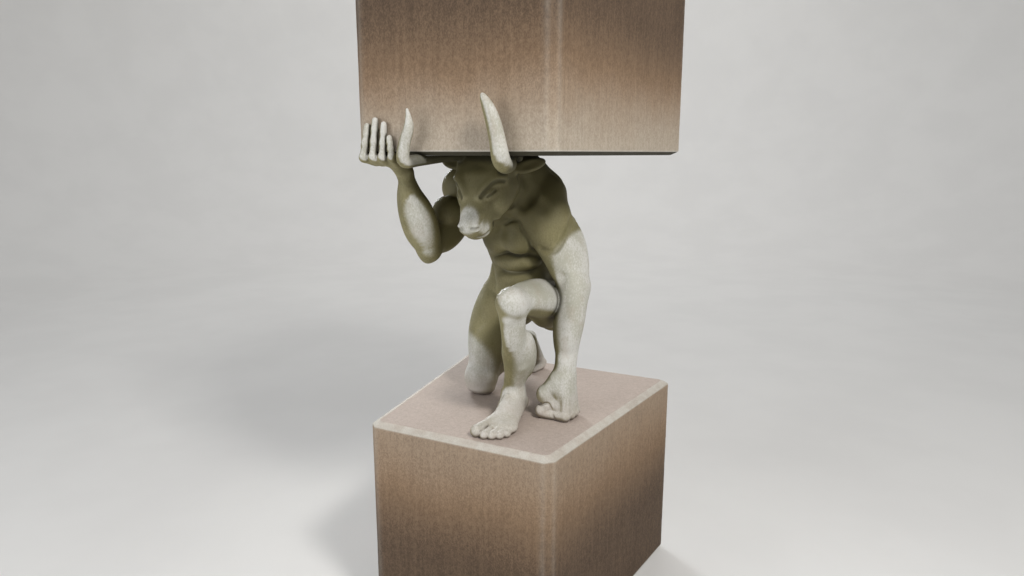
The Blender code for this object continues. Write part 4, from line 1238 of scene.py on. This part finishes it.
class BlockSettings(bpy.types.PropertyGroup):
    wear: fine_length("Wear", 0.0014, "How far the arrises are worn back")
    # Darker stone far from the gap: painted shade, partly the stone's own tone
    dark: colour_value("Dark fleck", (0.062, 0.038, 0.022), "Dark flecks far from the figure")
    middle: colour_value("Dark brown", (0.140, 0.090, 0.054), "Stone far from the figure")
    warm_dark: colour_value("Brown fleck", (0.200, 0.124, 0.070), "Flecks of the middle band")
    warm: colour_value("Brown", (0.325, 0.215, 0.128), "Stone of the middle band")
    # Paler stone near the gap: painted light, partly bleached stone
    pale_and_lit_dark: colour_value("Pale fleck", (0.380, 0.320, 0.250), "Flecks where it is bleached")
    pale_and_lit: colour_value("Pale", (0.540, 0.475, 0.388), "Bleached stone near the figure")
    top_dark: colour_value("Top fleck", (0.400, 0.328, 0.280), "Flecks on the plinth's top")
    top: colour_value("Top", (0.520, 0.436, 0.384), "The plinth's dusty top")
    arris: colour_value("Arris", (0.640, 0.620, 0.560), "Worn arrises")
    # Painted shade on the load's underside
    painted_shade: colour_value("Painted shade", (0.035, 0.030, 0.014), "Underside of the load")
    grain_depth: fine_length("Grain depth", 0.0011, "Depth of the open grain")


class StudioSettings(bpy.types.PropertyGroup):
    floor: colour_value("Floor", (0.78, 0.77, 0.75), "Pale floor")
    floor_radius: FloatProperty(name="Floor radius", description="Flat floor round the statue",
                                default=9.0, unit='LENGTH')
    key_power: power_value("Key light", 184.0, "Light from the front and right")
    fill_power: power_value("Fill light", 115.0, "Wide light from the front left")
    rim_power: power_value("Rim light", 13.0, "Light from behind, on the left")
    backdrop_power: power_value("Backdrop light", 340.0, "Light on the wall behind")
    sky: FloatProperty(name="Sky", description="Strength of the even light from above",
                       default=0.42, min=0.0)
    lens: FloatProperty(name="Lens", description="Focal length for a 36 mm wide sensor",
                        default=24.44)
    turn: FloatProperty(name="Turn", description="Camera's turn to the statue's right side",
                        default=np.radians(26.591), unit='ROTATION')
    tilt: FloatProperty(name="Tilt", description="How far the camera looks down",
                        default=np.radians(10.973), unit='ROTATION')


class STATUE_OT_figure(bpy.types.Operator):
    """Carve the kneeling figure in place of its CAD solid"""
    bl_idname = "statue.figure"
    bl_label = "Carved figure"

    def execute(self, context):
        settings = context.scene.statue_figure
        cell = settings.cell * 1.0
        mesh = carved_figure(cell, settings.triangles)
        new_piece("carved_figure", mesh, carved_stone(settings), "figure")
        return {'FINISHED'}


class STATUE_OT_blocks(bpy.types.Operator):
    """Make the plinth and the load with worn arrises, in place of their CAD solids"""
    bl_idname = "statue.blocks"
    bl_label = "Stone blocks"

    def execute(self, context):
        settings = context.scene.statue_blocks
        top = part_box("plinth")[1].z
        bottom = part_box("upper_block")[0].z
        below = sandstone(settings, "sandstone of the plinth", top, -1, 0.35)
        above = sandstone(settings, "sandstone of the load", bottom, 1, 0.95)
        new_piece("plinth_stone", worn_block("plinth", settings.wear, 5), below, "plinth")
        new_piece("load_stone", worn_block("upper_block", settings.wear, 9), above, "upper_block")
        return {'FINISHED'}


# The camera's place over the plinth, in shares of the clear height
EYE = (1.2339, -2.5144, 1.00814)


def new_light(name, target, direction, distance, size, power, colour, spread=np.pi):
    """Square soft light that looks at the target from a direction."""
    light = bpy.data.lights.new(name, 'AREA')
    light.energy, light.size, light.color, light.spread = power, size, colour, spread
    thing = bpy.data.objects.new(name, light)
    bpy.context.scene.collection.objects.link(thing)
    direction = Vector(direction).normalized()
    thing.location = Vector(target) + direction * distance
    thing.rotation_euler = direction.to_track_quat('Z', 'Y').to_euler()


def studio_floor(radius):
    """Round floor that sweeps up into a wall: a profile of radius and height turned once."""
    sweep, wall = 5.0, 5.0
    bend = np.linspace(0, np.pi / 2, 16)
    reach = np.concatenate([[0.0, 2.0, 5.0], radius + sweep * np.sin(bend), [radius + sweep]])
    lift = np.concatenate([[0.0, 0.0, 0.0], sweep * (1 - np.cos(bend)), [sweep + wall]])
    turn = np.linspace(0, 2 * np.pi, 97)[:-1]
    points = np.stack([reach[:, None] * np.cos(turn), reach[:, None] * np.sin(turn),
                       lift[:, None] * np.ones(len(turn))], -1)
    index = np.arange(points[..., 0].size).reshape(points.shape[:2])
    a, b = index[:-1], index[1:]
    quads = np.stack([a, b, np.roll(b, -1, 1), np.roll(a, -1, 1)], -1).reshape(-1, 4)
    return new_mesh("studio_floor", points.reshape(-1, 3), quads)


def new_sky(strength):
    """Even, slightly cool light from all round."""
    world = bpy.data.worlds.new("studio sky")
    world.use_nodes = True
    background = world.node_tree.nodes["Background"]
    background.inputs["Color"].default_value = (0.95, 0.97, 1.0, 1.0)
    background.inputs["Strength"].default_value = strength
    bpy.context.scene.world = world


def new_camera(lens, turn, tilt):
    """Camera at the photo's angle."""
    camera = bpy.data.cameras.new("camera")
    camera.lens = lens
    camera.sensor_width = 36.0
    eye = bpy.data.objects.new("camera", camera)
    bpy.context.scene.collection.objects.link(eye)
    eye.location = Vector(EYE) * CLEAR + Vector((0, 0, GROUND))
    eye.rotation_euler = (np.pi / 2 - tilt, 0.0, turn)
    bpy.context.scene.camera = eye


class STATUE_OT_studio(bpy.types.Operator):
    """Set the pale floor, the soft lights and the camera"""
    bl_idname = "statue.studio"
    bl_label = "Studio"

    def execute(self, context):
        settings = context.scene.statue_studio
        s = Shading("pale floor", 0.9)
        colour = s.mix(s.noise(1.2).between(0.35, 0.65), settings.floor,
                       [0.97 * c for c in settings.floor])
        s.feed(s.shader.inputs["Base Color"], colour)
        mesh = studio_floor(settings.floor_radius)
        mesh.materials.append(s.material)
        floor = bpy.data.objects.new("studio_floor", mesh)
        context.scene.collection.objects.link(floor)
        target = (0.0, -0.1, GROUND + 0.45 * CLEAR)
        new_light("key", target, OPEN_SIDE, 5.5, 0.9, settings.key_power, (1.0, 0.98, 0.95))
        new_light("fill", target, (-0.60, -1.0, 0.30), 6.0, 3.0, settings.fill_power, (0.95, 0.97, 1.0))
        new_light("rim", target, (-0.80, 0.75, 0.35), 5.0, 1.2, settings.rim_power, (0.93, 0.97, 1.0), 0.9)
        new_light("backdrop", (-5.0, 11.0, 1.5), (0.25, -0.45, 1.0), 9.0, 7.0, settings.backdrop_power,
                  (1.0, 1.0, 1.0))
        new_sky(settings.sky)
        new_camera(settings.lens, settings.turn, settings.tilt)
        context.scene.view_settings.view_transform = 'Standard'
        return {'FINISHED'}


class STATUE_PT_sidebar(bpy.types.Panel):
    """Buttons and sizes of the statue"""
    bl_label = "Minotaur Statue"
    bl_idname = "STATUE_PT_sidebar"
    bl_space_type = 'VIEW_3D'
    bl_region_type = 'UI'
    bl_category = "Statue"

    def draw(self, context):
        for operator in OPERATORS:
            self.layout.operator(operator.bl_idname)
        for group in GROUPS:
            settings = getattr(context.scene, group)
            for name in settings.__annotations__:
                self.layout.prop(settings, name)


GROUPS = {"statue_figure": FigureSettings, "statue_blocks": BlockSettings,
          "statue_studio": StudioSettings}
OPERATORS = [STATUE_OT_studio, STATUE_OT_blocks, STATUE_OT_figure]


def register():
    for group, settings in GROUPS.items():
        bpy.utils.register_class(settings)
        setattr(bpy.types.Scene, group, PointerProperty(type=settings))
    for kind in [*OPERATORS, STATUE_PT_sidebar]:
        bpy.utils.register_class(kind)


def unregister():
    for kind in [STATUE_PT_sidebar, *OPERATORS]:
        bpy.utils.unregister_class(kind)
    for group, settings in GROUPS.items():
        delattr(bpy.types.Scene, group)
        bpy.utils.unregister_class(settings)


def main():
    register()
    bpy.ops.statue.studio()
    bpy.ops.statue.blocks()
    bpy.ops.statue.figure()


if __name__ == "__main__":
    main()
